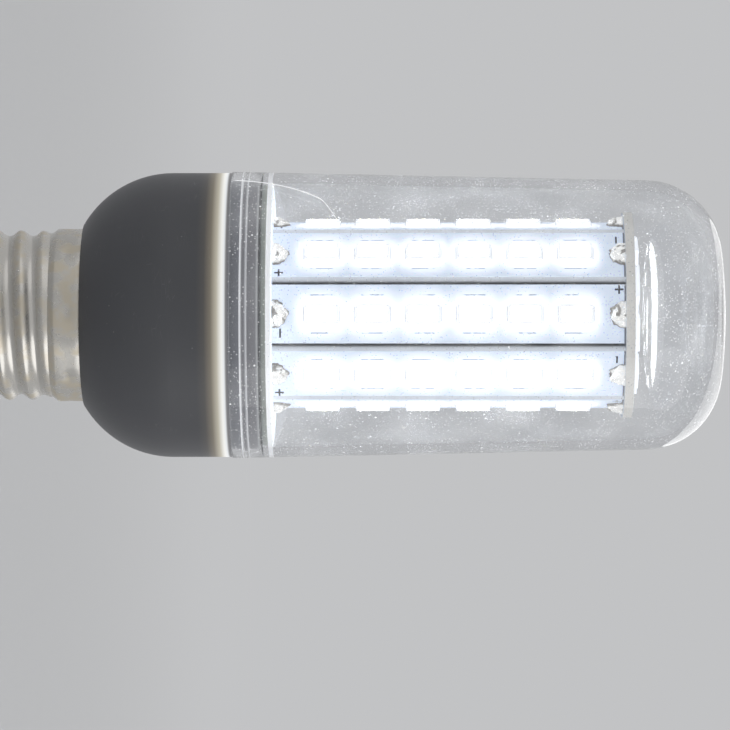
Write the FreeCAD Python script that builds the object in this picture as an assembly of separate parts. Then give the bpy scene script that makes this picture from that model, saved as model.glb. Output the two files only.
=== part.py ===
"""Corn LED bulb: a column of LED strips under a clear cover, on a plastic base with an E27 screw cap."""
import FreeCAD, Part
import math
import os

from FreeCAD import Placement, Rotation, Vector

# Centre contact and insulator of the cap
CONTACT_RADIUS = 4.8
CONTACT_HEIGHT = 1.2
CONTACT_EDGE = 0.5
STEM_RADIUS = 1.5
STEM_GAP = 0.1
STEM_END = 0.6
INSULATOR_FOOT_RADIUS = 5.8
INSULATOR_RISE = 3.2
INSULATOR_FLANGE = 1.2
INSULATOR_GAP = 0.1

# Threaded shell of the cap
SHELL_WALL = 0.4
LIP_OPENING_RADIUS = 9.4
LIP_WIDTH = 1.0
SHELL_SHOULDER = 2.2
THREAD_ROOT_RADIUS = 12.25
THREAD_DEPTH = 0.9
THREAD_PITCH = 3.629
THREAD_LENGTH = 14.0
THREAD_STEPS = 8
COLLAR_STEP = 1.1
COLLAR_FLARE = 0.9
COLLAR_HEIGHT = 4.0
DENT_COUNT = 8
DENT_RADIUS = 1.1
DENT_DEPTH = 0.22

# Plastic base
BASE_RADIUS = 22.0
BASE_WALL = 2.0
BASE_SIDE = 9.1
BOWL_RADIUS = 16.1
FOOT_LIP = 0.8
NECK_GAP = 0.25
NECK_WALL = 1.4
NECK_LIFT = 1.0
SPIGOT_GAP = 0.25
SPIGOT_WALL = 2.0
SPIGOT_HEIGHT = 5.6
SPIGOT_STEP = 0.55
SPIGOT_STEP_HEIGHT = 4.55
SPIGOT_ROOT = 1.5
BEAD_HEIGHT = 1.85
BEAD_WIDTH = 0.75
BEAD_CATCH = 0.15
BEAD_BREAK = 1.0
BEAD_BREAK_COUNT = 6
BEAD_BREAK_ANGLE = -119.0

# Clear cover
COVER_PROUD = 0.2
COVER_HEIGHT = 76.2
COVER_DRAFT = 1.2
COVER_WALL = 1.6
SKIRT_WALL = 1.2
CORNER_RADIUS = 11.7
CROWN_RADIUS = 80.0
GROOVE_GAP = 0.12
SKIRT_STEP_GAP = 0.2

# Boards of the LED column
LOWER_BOARD_SETBACK = 0.5
LOWER_BOARD_THICKNESS = 0.8
STRIP_COUNT = 9
STRIP_APOTHEM = 13.95
STRIP_THICKNESS = 1.5
STRIP_BACK_GAP = 0.3
STRIP_LENGTH = 53.8
STRIP_ANGLE = -90.0
END_BOARD_LEDGE = 1.95
END_BOARD_THICKNESS = 1.4
SOLDER_RADIUS = 2.3
SOLDER_SINK = 0.95
SOLDER_FOOT = 0.1

# LED packages
LED_LENGTH = 5.7
LED_WIDTH = 3.0
LED_HEIGHT = 0.85
LEAD_REACH = 0.25
LEAD_WIDTH = 2.4
LEAD_HEIGHT = 0.3
WINDOW_RIM = 0.4
WINDOW_DEPTH = 0.35
PHOSPHOR_DROP = 0.05
STRIP_LED_COUNT = 6
STRIP_LED_PITCH = 7.73
END_RING_COUNT = 9
END_RING_SETBACK = 5.4
END_RING_ANGLE = -115.0
INNER_RING_COUNT = 5
INNER_RING_RADIUS = 5.6

# Driver in the base
DRIVER_THICKNESS = 1.2
DRIVER_HEIGHT = 33.0
DRIVER_LIFT = 2.5
DRIVER_EDGE_GAP = 0.3
RAIL_GAP = 0.15
RAIL_DEPTH = 2.2
RAIL_WALL = 1.0
FILM_LENGTH = 14.0
FILM_WIDTH = 7.0
FILM_HEIGHT = 11.0
FILM_EDGE = 0.8
FILM_DROP = 1.5
CAN_RADIUS = 4.0
CAN_LENGTH = 11.5
CAN_EDGE = 0.5
CAN_DROP = 2.0
BRIDGE_LENGTH = 4.8
BRIDGE_WIDTH = 3.9
BRIDGE_HEIGHT = 1.6
BRIDGE_PLACE = 16.0
CHIP_LENGTH = 3.2
CHIP_WIDTH = 1.6
CHIP_HEIGHT = 0.6
CHIP_PLACE = 10.0
RESISTOR_RADIUS = 1.25
RESISTOR_LENGTH = 6.5
RESISTOR_LEAD_RADIUS = 0.3
RESISTOR_LEAD_REACH = 1.6
RESISTOR_GAP = 0.3
RESISTOR_PLACE = 12.5

# Wires
WIRE_RADIUS = 0.5
WIRE_BEND = 0.9
WIRE_HOLE_GAP = 0.25
WIRE_STAND = 2.0
WIRE_TIP = 0.8
SUPPLY_PLACE = 2.9
NEUTRAL_DIP = 3.6
NEUTRAL_END_GAP = 0.1
NOTCH_GAP = 0.5
LEAD_SPREAD = 7.0
LEAD_DROP = 3.0

# Heights along the axis, from the face of the centre contact
lip_z = CONTACT_HEIGHT + INSULATOR_RISE
flange_z = lip_z + SHELL_WALL + INSULATOR_FLANGE
stem_z = flange_z + STEM_END
root_z = lip_z + SHELL_SHOULDER
run_z = root_z + THREAD_LENGTH
collar_z = run_z + COLLAR_FLARE
cap_z = collar_z + COLLAR_HEIGHT
neck_z = root_z + NECK_LIFT

# Radii and heights of the base
lip_radius = LIP_OPENING_RADIUS + LIP_WIDTH
collar_radius = THREAD_ROOT_RADIUS + COLLAR_STEP
neck_radius = THREAD_ROOT_RADIUS - SHELL_WALL - NECK_GAP
bore_radius = neck_radius - NECK_WALL
foot_radius = collar_radius + FOOT_LIP
bowl_r = BASE_RADIUS - BOWL_RADIUS
bowl_z = cap_z + math.sqrt(BOWL_RADIUS ** 2 - (foot_radius - bowl_r) ** 2)
joint_z = bowl_z + BASE_SIDE
base_bore = BASE_RADIUS - BASE_WALL
cover_radius = BASE_RADIUS + COVER_PROUD
skirt_bore = cover_radius - SKIRT_WALL
spigot_radius = skirt_bore - SPIGOT_GAP
spigot_bore = spigot_radius - SPIGOT_WALL
spigot_z = joint_z + SPIGOT_HEIGHT
skirt_z = joint_z + SPIGOT_STEP_HEIGHT + SKIRT_STEP_GAP
bead_z = joint_z + BEAD_HEIGHT
bead_radius = skirt_bore + BEAD_CATCH
crown_z = joint_z + COVER_HEIGHT

# Places on the LED column
lower_radius = spigot_radius - SPIGOT_STEP - LOWER_BOARD_SETBACK
strip_z = spigot_z + LOWER_BOARD_THICKNESS
end_z = strip_z + STRIP_LENGTH
end_face_z = end_z + END_BOARD_THICKNESS
strip_step = 360.0 / STRIP_COUNT
strip_width = 2 * (STRIP_APOTHEM - STRIP_THICKNESS) * math.tan(math.pi / STRIP_COUNT) - STRIP_BACK_GAP
end_radius = STRIP_APOTHEM + END_BOARD_LEDGE
end_ring_radius = end_radius - END_RING_SETBACK
strip_angles = [STRIP_ANGLE + strip_step * index for index in range(STRIP_COUNT)]

# Places on the driver board
driver_half = bore_radius - DRIVER_EDGE_GAP
driver_face = DRIVER_THICKNESS / 2
driver_z = neck_z + DRIVER_LIFT
driver_top = driver_z + DRIVER_HEIGHT
supply_z = driver_z + SUPPLY_PLACE
lead_z = driver_top - LEAD_DROP
wire_y = driver_face + WIRE_STAND


def spot(radius, height):
    """Return a point of a turned section."""
    return Vector(radius, 0, height)


def arc(centre, radius, start, end):
    """Return an arc of a turned section between two angles in degrees."""
    def rim(angle):
        return centre + spot(radius * math.cos(math.radians(angle)), radius * math.sin(math.radians(angle)))
    return Part.Arc(rim(start), rim((start + end) / 2), rim(end)).toShape()


def bearing(start, end):
    """Return the angle in degrees of the line from one section point to another."""
    return math.degrees(math.atan2(end.z - start.z, end.x - start.x))


def ends(item):
    """Return the first and last point of a corner or an arc."""
    if isinstance(item, Vector):
        return item, item
    return item.valueAt(item.FirstParameter), item.valueAt(item.LastParameter)


def outline(items):
    """Return the closed wire through corners and arcs in order, with straight sides between them."""
    edges = []
    for item, after in zip(items, items[1:] + items[:1]):
        if not isinstance(item, Vector):
            edges.append(item)
        start = ends(item)[1]
        stop = ends(after)[0]
        if start.distanceToPoint(stop) > 1e-6:
            edges.append(Part.makeLine(start, stop))
    return Part.Wire(edges)


def turned(items):
    """Return the solid turned about the axis from a section of corners and arcs."""
    return Part.Face(outline(items)).revolve(Vector(0, 0, 0), Vector(0, 0, 1), 360)


def inset(points, depth):
    """Return a run of section corners moved by a depth towards its left side."""
    sides = []
    for start, stop in zip(points, points[1:]):
        along = (stop - start).normalize()
        sides.append(Vector(-along.z, 0, along.x))
    moved = []
    for index, point in enumerate(points):
        before = sides[max(index - 1, 0)]
        after = sides[min(index, len(sides) - 1)]
        moved.append(point + (before + after) * (depth / (1 + before.dot(after))))
    return moved


def block(x0, x1, y0, y1, z0, z1):
    """Return a box between two corners."""
    return Part.makeBox(x1 - x0, y1 - y0, z1 - z0, Vector(x0, y0, z0))


def about_axis(shape, angle):
    """Return a copy of a shape turned about the axis by an angle in degrees."""
    copy = shape.copy()
    copy.rotate(Vector(0, 0, 0), Vector(0, 0, 1), angle)
    return copy


def placed(shape, base, rotation=None):
    """Return a copy of a shape turned and then moved to a place."""
    copy = shape.copy()
    copy.Placement = Placement(base, rotation or Rotation())
    return copy


def wire_run(points, radius, bend):
    """Return a round wire along straight runs joined by tangent bends."""
    edges = []
    start = points[0]
    for before, corner, after in zip(points, points[1:], points[2:]):
        back = (before - corner).normalize()
        on = (after - corner).normalize()
        half = back.getAngle(on) / 2
        reach = bend / math.tan(half)
        middle = (back + on).normalize() * (bend / math.sin(half) - bend)
        edges.append(Part.makeLine(start, corner + back * reach))
        edges.append(Part.Arc(corner + back * reach, corner + middle, corner + on * reach).toShape())
        start = corner + on * reach
    edges.append(Part.makeLine(start, points[-1]))
    section = Part.Wire(Part.makeCircle(radius, points[0], points[1] - points[0]))
    return Part.Wire(edges).makePipeShell([section], True, False)


# Corners of the shell's outer side, from the lip up to the rim
shell_corners = [
    spot(LIP_OPENING_RADIUS, lip_z),
    spot(lip_radius, lip_z),
    spot(THREAD_ROOT_RADIUS, root_z),
    spot(THREAD_ROOT_RADIUS, run_z),
    spot(collar_radius, collar_z),
    spot(collar_radius, cap_z),
]


def centre_contact():
    """Return the contact button with its rivet stem."""
    edge_centre = spot(CONTACT_RADIUS - CONTACT_EDGE, CONTACT_EDGE)
    return turned([
        spot(0, 0),
        arc(edge_centre, CONTACT_EDGE, -90, 0),
        spot(CONTACT_RADIUS, CONTACT_HEIGHT),
        spot(STEM_RADIUS, CONTACT_HEIGHT),
        spot(STEM_RADIUS, stem_z),
        spot(0, stem_z),
    ])


def cap_insulator():
    """Return the insulator: a cone below the shell and a flange inside its lip."""
    hole = STEM_RADIUS + STEM_GAP
    throat = LIP_OPENING_RADIUS - INSULATOR_GAP
    flange = inset(shell_corners, SHELL_WALL)[1].x - INSULATOR_GAP
    return turned([
        spot(hole, CONTACT_HEIGHT),
        spot(INSULATOR_FOOT_RADIUS, CONTACT_HEIGHT),
        spot(throat, lip_z),
        spot(throat, lip_z + SHELL_WALL),
        spot(flange, lip_z + SHELL_WALL),
        spot(flange, flange_z),
        spot(hole, flange_z),
    ])


def ring(radius, centre):
    """Return a level circle about a point."""
    return Part.Wire(Part.makeCircle(radius, centre, Vector(0, 0, 1)))


def shell_body(drop, foot, top):
    """Return the shell's form, made smaller by a drop, from a foot corner up to a height.

    The rolled wave of the thread is a level circle whose centre swings round the axis once a turn.
    """
    rings = [ring(foot.x, spot(0, foot.z))]
    steps = round(THREAD_STEPS * THREAD_LENGTH / THREAD_PITCH)
    for step in range(steps + 1):
        rise = THREAD_LENGTH * step / steps
        turn = 2 * math.pi * rise / THREAD_PITCH
        swing = Vector(math.cos(turn), math.sin(turn), 0) * (THREAD_DEPTH / 2)
        rings.append(ring(THREAD_ROOT_RADIUS + THREAD_DEPTH / 2 - drop, swing + spot(0, root_z + rise)))
    for height in (collar_z, top):
        rings.append(ring(collar_radius - drop, spot(0, height)))
    return Part.makeLoft(rings, True, True)


def screw_shell():
    """Return the sheet shell with its rolled thread, collar and staking dents."""
    outside = shell_body(0, shell_corners[1], cap_z)
    inside = shell_body(SHELL_WALL, inset(shell_corners, SHELL_WALL)[1], cap_z + SHELL_WALL)
    shell = outside.cut(inside).cut(Part.makeCylinder(LIP_OPENING_RADIUS, root_z))
    reach = collar_radius + DENT_RADIUS - DENT_DEPTH
    dent = Part.makeSphere(DENT_RADIUS, Vector(reach, 0, (collar_z + cap_z) / 2))
    dents = [about_axis(dent, 360.0 * index / DENT_COUNT) for index in range(DENT_COUNT)]
    return shell.cut(Part.makeCompound(dents))


def snap_bead():
    """Return the bead round the spigot, broken by narrow gaps."""
    ramp = (bead_radius - spigot_radius) / 2
    inside = spigot_radius - BEAD_CATCH
    ring = turned([
        spot(inside, bead_z),
        spot(spigot_radius, bead_z),
        spot(bead_radius, bead_z + ramp),
        spot(bead_radius, bead_z + BEAD_WIDTH - ramp),
        spot(spigot_radius, bead_z + BEAD_WIDTH),
        spot(inside, bead_z + BEAD_WIDTH),
    ])
    half = BEAD_BREAK / 2
    cutter = block(spigot_radius / 2, BASE_RADIUS, -half, half, joint_z, spigot_z)
    step = 360.0 / BEAD_BREAK_COUNT
    breaks = [about_axis(cutter, BEAD_BREAK_ANGLE + step * index) for index in range(BEAD_BREAK_COUNT)]
    return ring.cut(Part.makeCompound(breaks))


def driver_rails():
    """Return the two slotted rails in the neck that hold the driver board."""
    side = driver_face + RAIL_GAP + RAIL_WALL
    rail = block(bore_radius - RAIL_DEPTH, neck_radius, -side, side, neck_z, cap_z)
    rail = rail.common(Part.makeCylinder(bore_radius + NECK_WALL / 4, cap_z))
    slot_side = driver_face + RAIL_GAP
    slot = block(0, driver_half + RAIL_GAP, -slot_side, slot_side, driver_z, cap_z)
    rail = rail.cut(slot)
    return Part.makeCompound([rail, about_axis(rail, 180)])


def base_housing():
    """Return the plastic base with its neck, shoulder, spigot, bead and rails."""
    neck = inset(shell_corners, SHELL_WALL + NECK_GAP)
    bowl = spot(bowl_r, bowl_z)
    foot = spot(foot_radius, cap_z)
    inner_bowl = BOWL_RADIUS - BASE_WALL
    throat = spot(bore_radius, bowl_z - math.sqrt(inner_bowl ** 2 - (bore_radius - bowl_r) ** 2))
    root = joint_z - SPIGOT_ROOT
    step_z = joint_z + SPIGOT_STEP_HEIGHT
    housing = turned([
        spot(neck_radius, neck_z),
        neck[3],
        neck[4],
        spot(neck[5].x, cap_z),
        arc(bowl, BOWL_RADIUS, bearing(bowl, foot), 0),
        spot(BASE_RADIUS, joint_z),
        spot(spigot_radius, joint_z),
        spot(spigot_radius, step_z),
        spot(spigot_radius - SPIGOT_STEP, step_z),
        spot(spigot_radius - SPIGOT_STEP, spigot_z),
        spot(spigot_bore, spigot_z),
        spot(spigot_bore, root),
        spot(base_bore, root - (base_bore - spigot_bore)),
        arc(bowl, inner_bowl, 0, bearing(bowl, throat)),
        spot(bore_radius, neck_z),
    ])
    housing = housing.fuse([snap_bead(), driver_rails()])
    half = WIRE_RADIUS + NOTCH_GAP
    notch_z = supply_z - NEUTRAL_DIP + half
    return housing.cut(block(-half, half, -BASE_RADIUS, -bore_radius / 2, neck_z, notch_z))


def clear_cover():
    """Return the clear cover with its crown, inner step and snap groove."""
    draft = math.radians(COVER_DRAFT)
    side = spot(-math.sin(draft), math.cos(draft))
    out = spot(math.cos(draft), math.sin(draft))
    rim = spot(cover_radius, joint_z)
    crown = spot(0, crown_z - CROWN_RADIUS)
    from_crown = rim - out * CORNER_RADIUS - crown
    lead = from_crown.dot(side)
    spare = (CROWN_RADIUS - CORNER_RADIUS) ** 2 - from_crown.dot(from_crown)
    corner = crown + from_crown + side * (math.sqrt(lead ** 2 + spare) - lead)
    turn = bearing(crown, corner)
    inner_corner = CORNER_RADIUS - COVER_WALL
    inner_crown = CROWN_RADIUS - COVER_WALL
    step_up = (skirt_z - joint_z + COVER_WALL * math.sin(draft)) / math.cos(draft)
    groove = bead_radius + GROOVE_GAP
    return turned([
        rim,
        arc(corner, CORNER_RADIUS, COVER_DRAFT, turn),
        arc(crown, CROWN_RADIUS, turn, 90),
        arc(crown, inner_crown, 90, turn),
        arc(corner, inner_corner, turn, COVER_DRAFT),
        rim + side * step_up - out * COVER_WALL,
        spot(skirt_bore, skirt_z),
        spot(skirt_bore, bead_z + BEAD_WIDTH + GROOVE_GAP),
        spot(groove, bead_z + BEAD_WIDTH + GROOVE_GAP),
        spot(groove, bead_z - GROOVE_GAP),
        spot(skirt_bore, bead_z - GROOVE_GAP),
        spot(skirt_bore, joint_z),
    ])


def led_strip():
    """Return one strip board facing +X."""
    half = strip_width / 2
    return block(STRIP_APOTHEM - STRIP_THICKNESS, STRIP_APOTHEM, -half, half, strip_z, end_z)


def solder_joint(board_z, up):
    """Return the solder in the corner between a strip facing +X and a round board."""
    ball = Part.makeSphere(SOLDER_RADIUS, Vector(STRIP_APOTHEM - SOLDER_SINK, 0, board_z - up * SOLDER_FOOT))
    top = board_z + up * 2 * SOLDER_RADIUS
    room = block(
        STRIP_APOTHEM,
        STRIP_APOTHEM + 2 * SOLDER_RADIUS,
        -2 * SOLDER_RADIUS,
        2 * SOLDER_RADIUS,
        min(board_z, top),
        max(board_z, top),
    )
    return ball.common(room)


def led_window(low, high):
    """Return the filling of an LED package's window between two heights."""
    half_width = LED_WIDTH / 2 - WINDOW_RIM
    half_length = LED_LENGTH / 2 - LEAD_REACH - WINDOW_RIM
    return block(-half_width, half_width, -half_length, half_length, low, high)


def led_package():
    """Return an LED package lying on z = 0, long side along Y."""
    half_width = LED_WIDTH / 2
    half_body = LED_LENGTH / 2 - LEAD_REACH
    body = block(-half_width, half_width, -half_body, half_body, 0, LED_HEIGHT)
    half_lead = LEAD_WIDTH / 2
    leads = block(-half_lead, half_lead, -LED_LENGTH / 2, LED_LENGTH / 2, 0, LEAD_HEIGHT)
    return body.fuse(leads).cut(led_window(LED_HEIGHT - WINDOW_DEPTH, LED_HEIGHT)).removeSplitter()


def led_phosphor():
    """Return the filling of an LED package lying on z = 0."""
    return led_window(LED_HEIGHT - WINDOW_DEPTH, LED_HEIGHT - PHOSPHOR_DROP)


def strip_row(piece):
    """Return a row of copies along a strip facing +X."""
    outward = Rotation(Vector(0, 1, 0), 90)
    middle = (strip_z + end_z) / 2
    row = []
    for index in range(STRIP_LED_COUNT):
        height = middle + (index - (STRIP_LED_COUNT - 1) / 2) * STRIP_LED_PITCH
        row.append(placed(piece, Vector(STRIP_APOTHEM, 0, height), outward))
    return Part.makeCompound(row)


def end_rings(piece):
    """Return copies of a piece over the end board: a middle one and two rings."""
    copies = [placed(piece, Vector(0, 0, end_face_z))]
    for count, radius in ((END_RING_COUNT, end_ring_radius), (INNER_RING_COUNT, INNER_RING_RADIUS)):
        first = placed(piece, Vector(radius, 0, end_face_z))
        for index in range(count):
            copies.append(about_axis(first, END_RING_ANGLE + 360.0 * index / count))
    return Part.makeCompound(copies)


def round_copies(piece):
    """Return one copy of a piece for each strip."""
    return Part.makeCompound([about_axis(piece, angle) for angle in strip_angles])


def lower_board():
    """Return the round board on the spigot, with holes for the two leads."""
    board = Part.makeCylinder(lower_radius, LOWER_BOARD_THICKNESS, Vector(0, 0, spigot_z))
    for side in (-1, 1):
        place = Vector(side * LEAD_SPREAD, -wire_y, spigot_z)
        board = board.cut(Part.makeCylinder(WIRE_RADIUS + WIRE_HOLE_GAP, LOWER_BOARD_THICKNESS, place))
    return board


def end_board():
    """Return the round board on the upper ends of the strips."""
    return Part.makeCylinder(end_radius, END_BOARD_THICKNESS, Vector(0, 0, end_z))


def driver_board():
    """Return the upright board of the driver."""
    return block(-driver_half, driver_half, -driver_face, driver_face, driver_z, driver_top)


def film_capacitor():
    """Return the boxed film capacitor on the front of the driver board."""
    top = driver_top - FILM_DROP
    half = FILM_LENGTH / 2
    body = block(-half, half, driver_face, driver_face + FILM_WIDTH, top - FILM_HEIGHT, top)
    outer = [edge for edge in body.Edges if edge.CenterOfMass.y > driver_face + 1e-6]
    return body.makeFillet(FILM_EDGE, outer)


def filter_capacitor():
    """Return the round can of the filter capacitor on the back of the driver board."""
    place = Vector(0, -driver_face, driver_top - CAN_DROP - CAN_RADIUS)
    can = Part.makeCylinder(CAN_RADIUS, CAN_LENGTH, place, Vector(0, -1, 0))
    rims = [edge for edge in can.Edges if edge.Closed]
    return can.makeFillet(CAN_EDGE, rims)


def back_chip(length, width, height, place):
    """Return a flat part on the back of the driver board at a place above its lower edge."""
    z = driver_z + place
    return block(-length / 2, length / 2, -driver_face - height, -driver_face, z - width / 2, z + width / 2)


def inrush_resistor():
    """Return the upright resistor on the front of the driver board with its bent leads."""
    y = driver_face + RESISTOR_GAP + RESISTOR_RADIUS
    middle = driver_z + RESISTOR_PLACE
    half = RESISTOR_LENGTH / 2
    body = Part.makeCylinder(RESISTOR_RADIUS, RESISTOR_LENGTH, Vector(0, y, middle - half))
    reach = half + RESISTOR_LEAD_REACH
    path = [
        Vector(0, driver_face, middle - reach),
        Vector(0, y, middle - reach),
        Vector(0, y, middle + reach),
        Vector(0, driver_face, middle + reach),
    ]
    return body.fuse(wire_run(path, RESISTOR_LEAD_RADIUS, 2 * RESISTOR_LEAD_RADIUS))


def live_wire():
    """Return the wire from the stem of the centre contact to the driver board."""
    low = (stem_z + driver_z) / 2
    return wire_run([
        Vector(0, 0, stem_z),
        Vector(0, 0, low),
        Vector(0, wire_y, low),
        Vector(0, wire_y, supply_z),
        Vector(0, driver_face, supply_z),
    ], WIRE_RADIUS, WIRE_BEND)


def neutral_wire():
    """Return the wire from the shell, through the notch in the neck, to the driver board."""
    wall = THREAD_ROOT_RADIUS - SHELL_WALL - NEUTRAL_END_GAP
    low = supply_z - NEUTRAL_DIP
    return wire_run([
        Vector(0, -wall, low),
        Vector(0, -wire_y, low),
        Vector(0, -wire_y, supply_z),
        Vector(0, -driver_face, supply_z),
    ], WIRE_RADIUS, WIRE_BEND)


def output_lead(side):
    """Return a wire from the driver board up through the lower board."""
    x = side * LEAD_SPREAD
    return wire_run([
        Vector(x, -driver_face, lead_z),
        Vector(x, -wire_y, lead_z),
        Vector(x, -wire_y, strip_z + WIRE_TIP),
    ], WIRE_RADIUS, WIRE_BEND)


# Every piece by its name
pieces = {
    "centre_contact": centre_contact(),
    "cap_insulator": cap_insulator(),
    "screw_shell": screw_shell(),
    "base_housing": base_housing(),
    "clear_cover": clear_cover(),
    "lower_board": lower_board(),
    "end_board": end_board(),
    "end_leds": end_rings(led_package()),
    "end_phosphor": end_rings(led_phosphor()),
    "lower_solder_joints": round_copies(solder_joint(strip_z, 1)),
    "upper_solder_joints": round_copies(solder_joint(end_z, -1)),
    "driver_board": driver_board(),
    "film_capacitor": film_capacitor(),
    "filter_capacitor": filter_capacitor(),
    "bridge_rectifier": back_chip(BRIDGE_LENGTH, BRIDGE_WIDTH, BRIDGE_HEIGHT, BRIDGE_PLACE),
    "discharge_resistor": back_chip(CHIP_LENGTH, CHIP_WIDTH, CHIP_HEIGHT, CHIP_PLACE),
    "inrush_resistor": inrush_resistor(),
    "live_wire": live_wire(),
    "neutral_wire": neutral_wire(),
    "positive_lead": output_lead(1),
    "negative_lead": output_lead(-1),
}
led_row = strip_row(led_package())
phosphor_row = strip_row(led_phosphor())
for number, angle in enumerate(strip_angles, 1):
    pieces[f"led_strip_{number}"] = about_axis(led_strip(), angle)
    pieces[f"strip_leds_{number}"] = about_axis(led_row, angle)
    pieces[f"strip_phosphor_{number}"] = about_axis(phosphor_row, angle)

os.makedirs("parts", exist_ok=True)
for name, shape in pieces.items():
    shape.exportStep(f"parts/{name}.step")
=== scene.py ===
"""Corn LED bulb: fine pieces, finishes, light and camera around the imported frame."""
import logging
import math
from abc import ABC, abstractmethod
from collections.abc import Callable, Iterator, Sequence
from contextlib import contextmanager
from dataclasses import dataclass
from enum import Enum
from typing import Any, ClassVar

import bmesh
import bpy
from mathutils import Matrix, Vector


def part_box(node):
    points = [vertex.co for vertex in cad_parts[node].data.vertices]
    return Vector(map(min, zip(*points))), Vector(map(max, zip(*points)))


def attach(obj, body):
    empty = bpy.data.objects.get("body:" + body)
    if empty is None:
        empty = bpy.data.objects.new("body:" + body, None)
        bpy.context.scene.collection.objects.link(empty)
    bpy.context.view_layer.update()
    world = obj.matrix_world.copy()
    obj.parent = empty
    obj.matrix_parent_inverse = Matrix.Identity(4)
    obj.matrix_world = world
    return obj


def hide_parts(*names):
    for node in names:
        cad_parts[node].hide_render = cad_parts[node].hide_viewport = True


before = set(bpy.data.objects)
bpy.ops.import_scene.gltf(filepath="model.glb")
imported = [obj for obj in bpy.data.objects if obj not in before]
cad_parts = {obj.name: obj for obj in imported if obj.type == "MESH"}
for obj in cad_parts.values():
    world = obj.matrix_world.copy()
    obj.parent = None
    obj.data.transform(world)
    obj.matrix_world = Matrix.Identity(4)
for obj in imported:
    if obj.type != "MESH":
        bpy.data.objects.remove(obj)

LOG = logging.getLogger("bulb")
MM = 0.001
NEAR = 0.01 * MM  # A face or edge this close to a plane is picked as part of it.
MERGE = 0.002 * MM  # Points closer than this are made one.
FAINT = 0.49  # Emission strength of a painted glow, too weak to be sampled as a lamp.
BLACK = (0.0, 0.0, 0.0)
WHITE = (1.0, 1.0, 1.0)
INK = (0.018, 0.018, 0.02)
BODY = "root"

Colour = tuple[float, float, float]
Point = tuple[float, float]
Stops = Sequence[tuple[float, Colour]]
Piece = bpy.types.Object
Test = Callable[[Vector, Vector], bool]
Value = Any


class Element(Enum):
    """Kinds of mesh element that can be selected."""

    VERT = "VERT"
    EDGE = "EDGE"
    FACE = "FACE"


class Mark(Enum):
    """Polarity marks printed on the strips."""

    PLUS = "plus"
    MINUS = "minus"


@dataclass(frozen=True)
class Field:
    """An output socket of a shader tree that takes part in ordinary sums."""

    graph: "Graph"
    socket: bpy.types.NodeSocket

    def _math(self, operation: str, first: Value, second: Value = 0.0) -> "Field":
        """Add a Math node."""
        return self.graph.node("ShaderNodeMath", {"operation": operation}, {0: first, 1: second})

    def __add__(self, other: Value) -> "Field":
        """Return self + other."""
        return self._math("ADD", self, other)

    def __radd__(self, other: Value) -> "Field":
        """Return other + self."""
        return self._math("ADD", other, self)

    def __sub__(self, other: Value) -> "Field":
        """Return self - other."""
        return self._math("SUBTRACT", self, other)

    def __rsub__(self, other: Value) -> "Field":
        """Return other - self."""
        return self._math("SUBTRACT", other, self)

    def __mul__(self, other: Value) -> "Field":
        """Return self * other."""
        return self._math("MULTIPLY", self, other)

    def __truediv__(self, other: Value) -> "Field":
        """Return self / other."""
        return self._math("DIVIDE", self, other)

    def __gt__(self, other: Value) -> "Field":
        """Return 1 where self is over other, else 0."""
        return self._math("GREATER_THAN", self, other)

    def __lt__(self, other: Value) -> "Field":
        """Return 1 where self is under other, else 0."""
        return self._math("LESS_THAN", self, other)

    def __abs__(self) -> "Field":
        """Return the size of self."""
        return self._math("ABSOLUTE", self)

    def __pow__(self, other: Value) -> "Field":
        """Return self to a power."""
        return self._math("POWER", self, other)

    def folded(self, period: Value) -> "Field":
        """Return the distance to the nearest multiple of a period."""
        inputs = {0: self + period * 0.5, 1: period, 2: 0.0}
        return abs(self.graph.node("ShaderNodeMath", {"operation": "WRAP"}, inputs) - period * 0.5)

    def eased(self, low: float, high: float) -> "Field":
        """Return a soft step from 0 at low to 1 at high."""
        settings = {"interpolation_type": "SMOOTHSTEP"}
        return self.graph.node("ShaderNodeMapRange", settings, {0: self, 1: low, 2: high})


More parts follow.
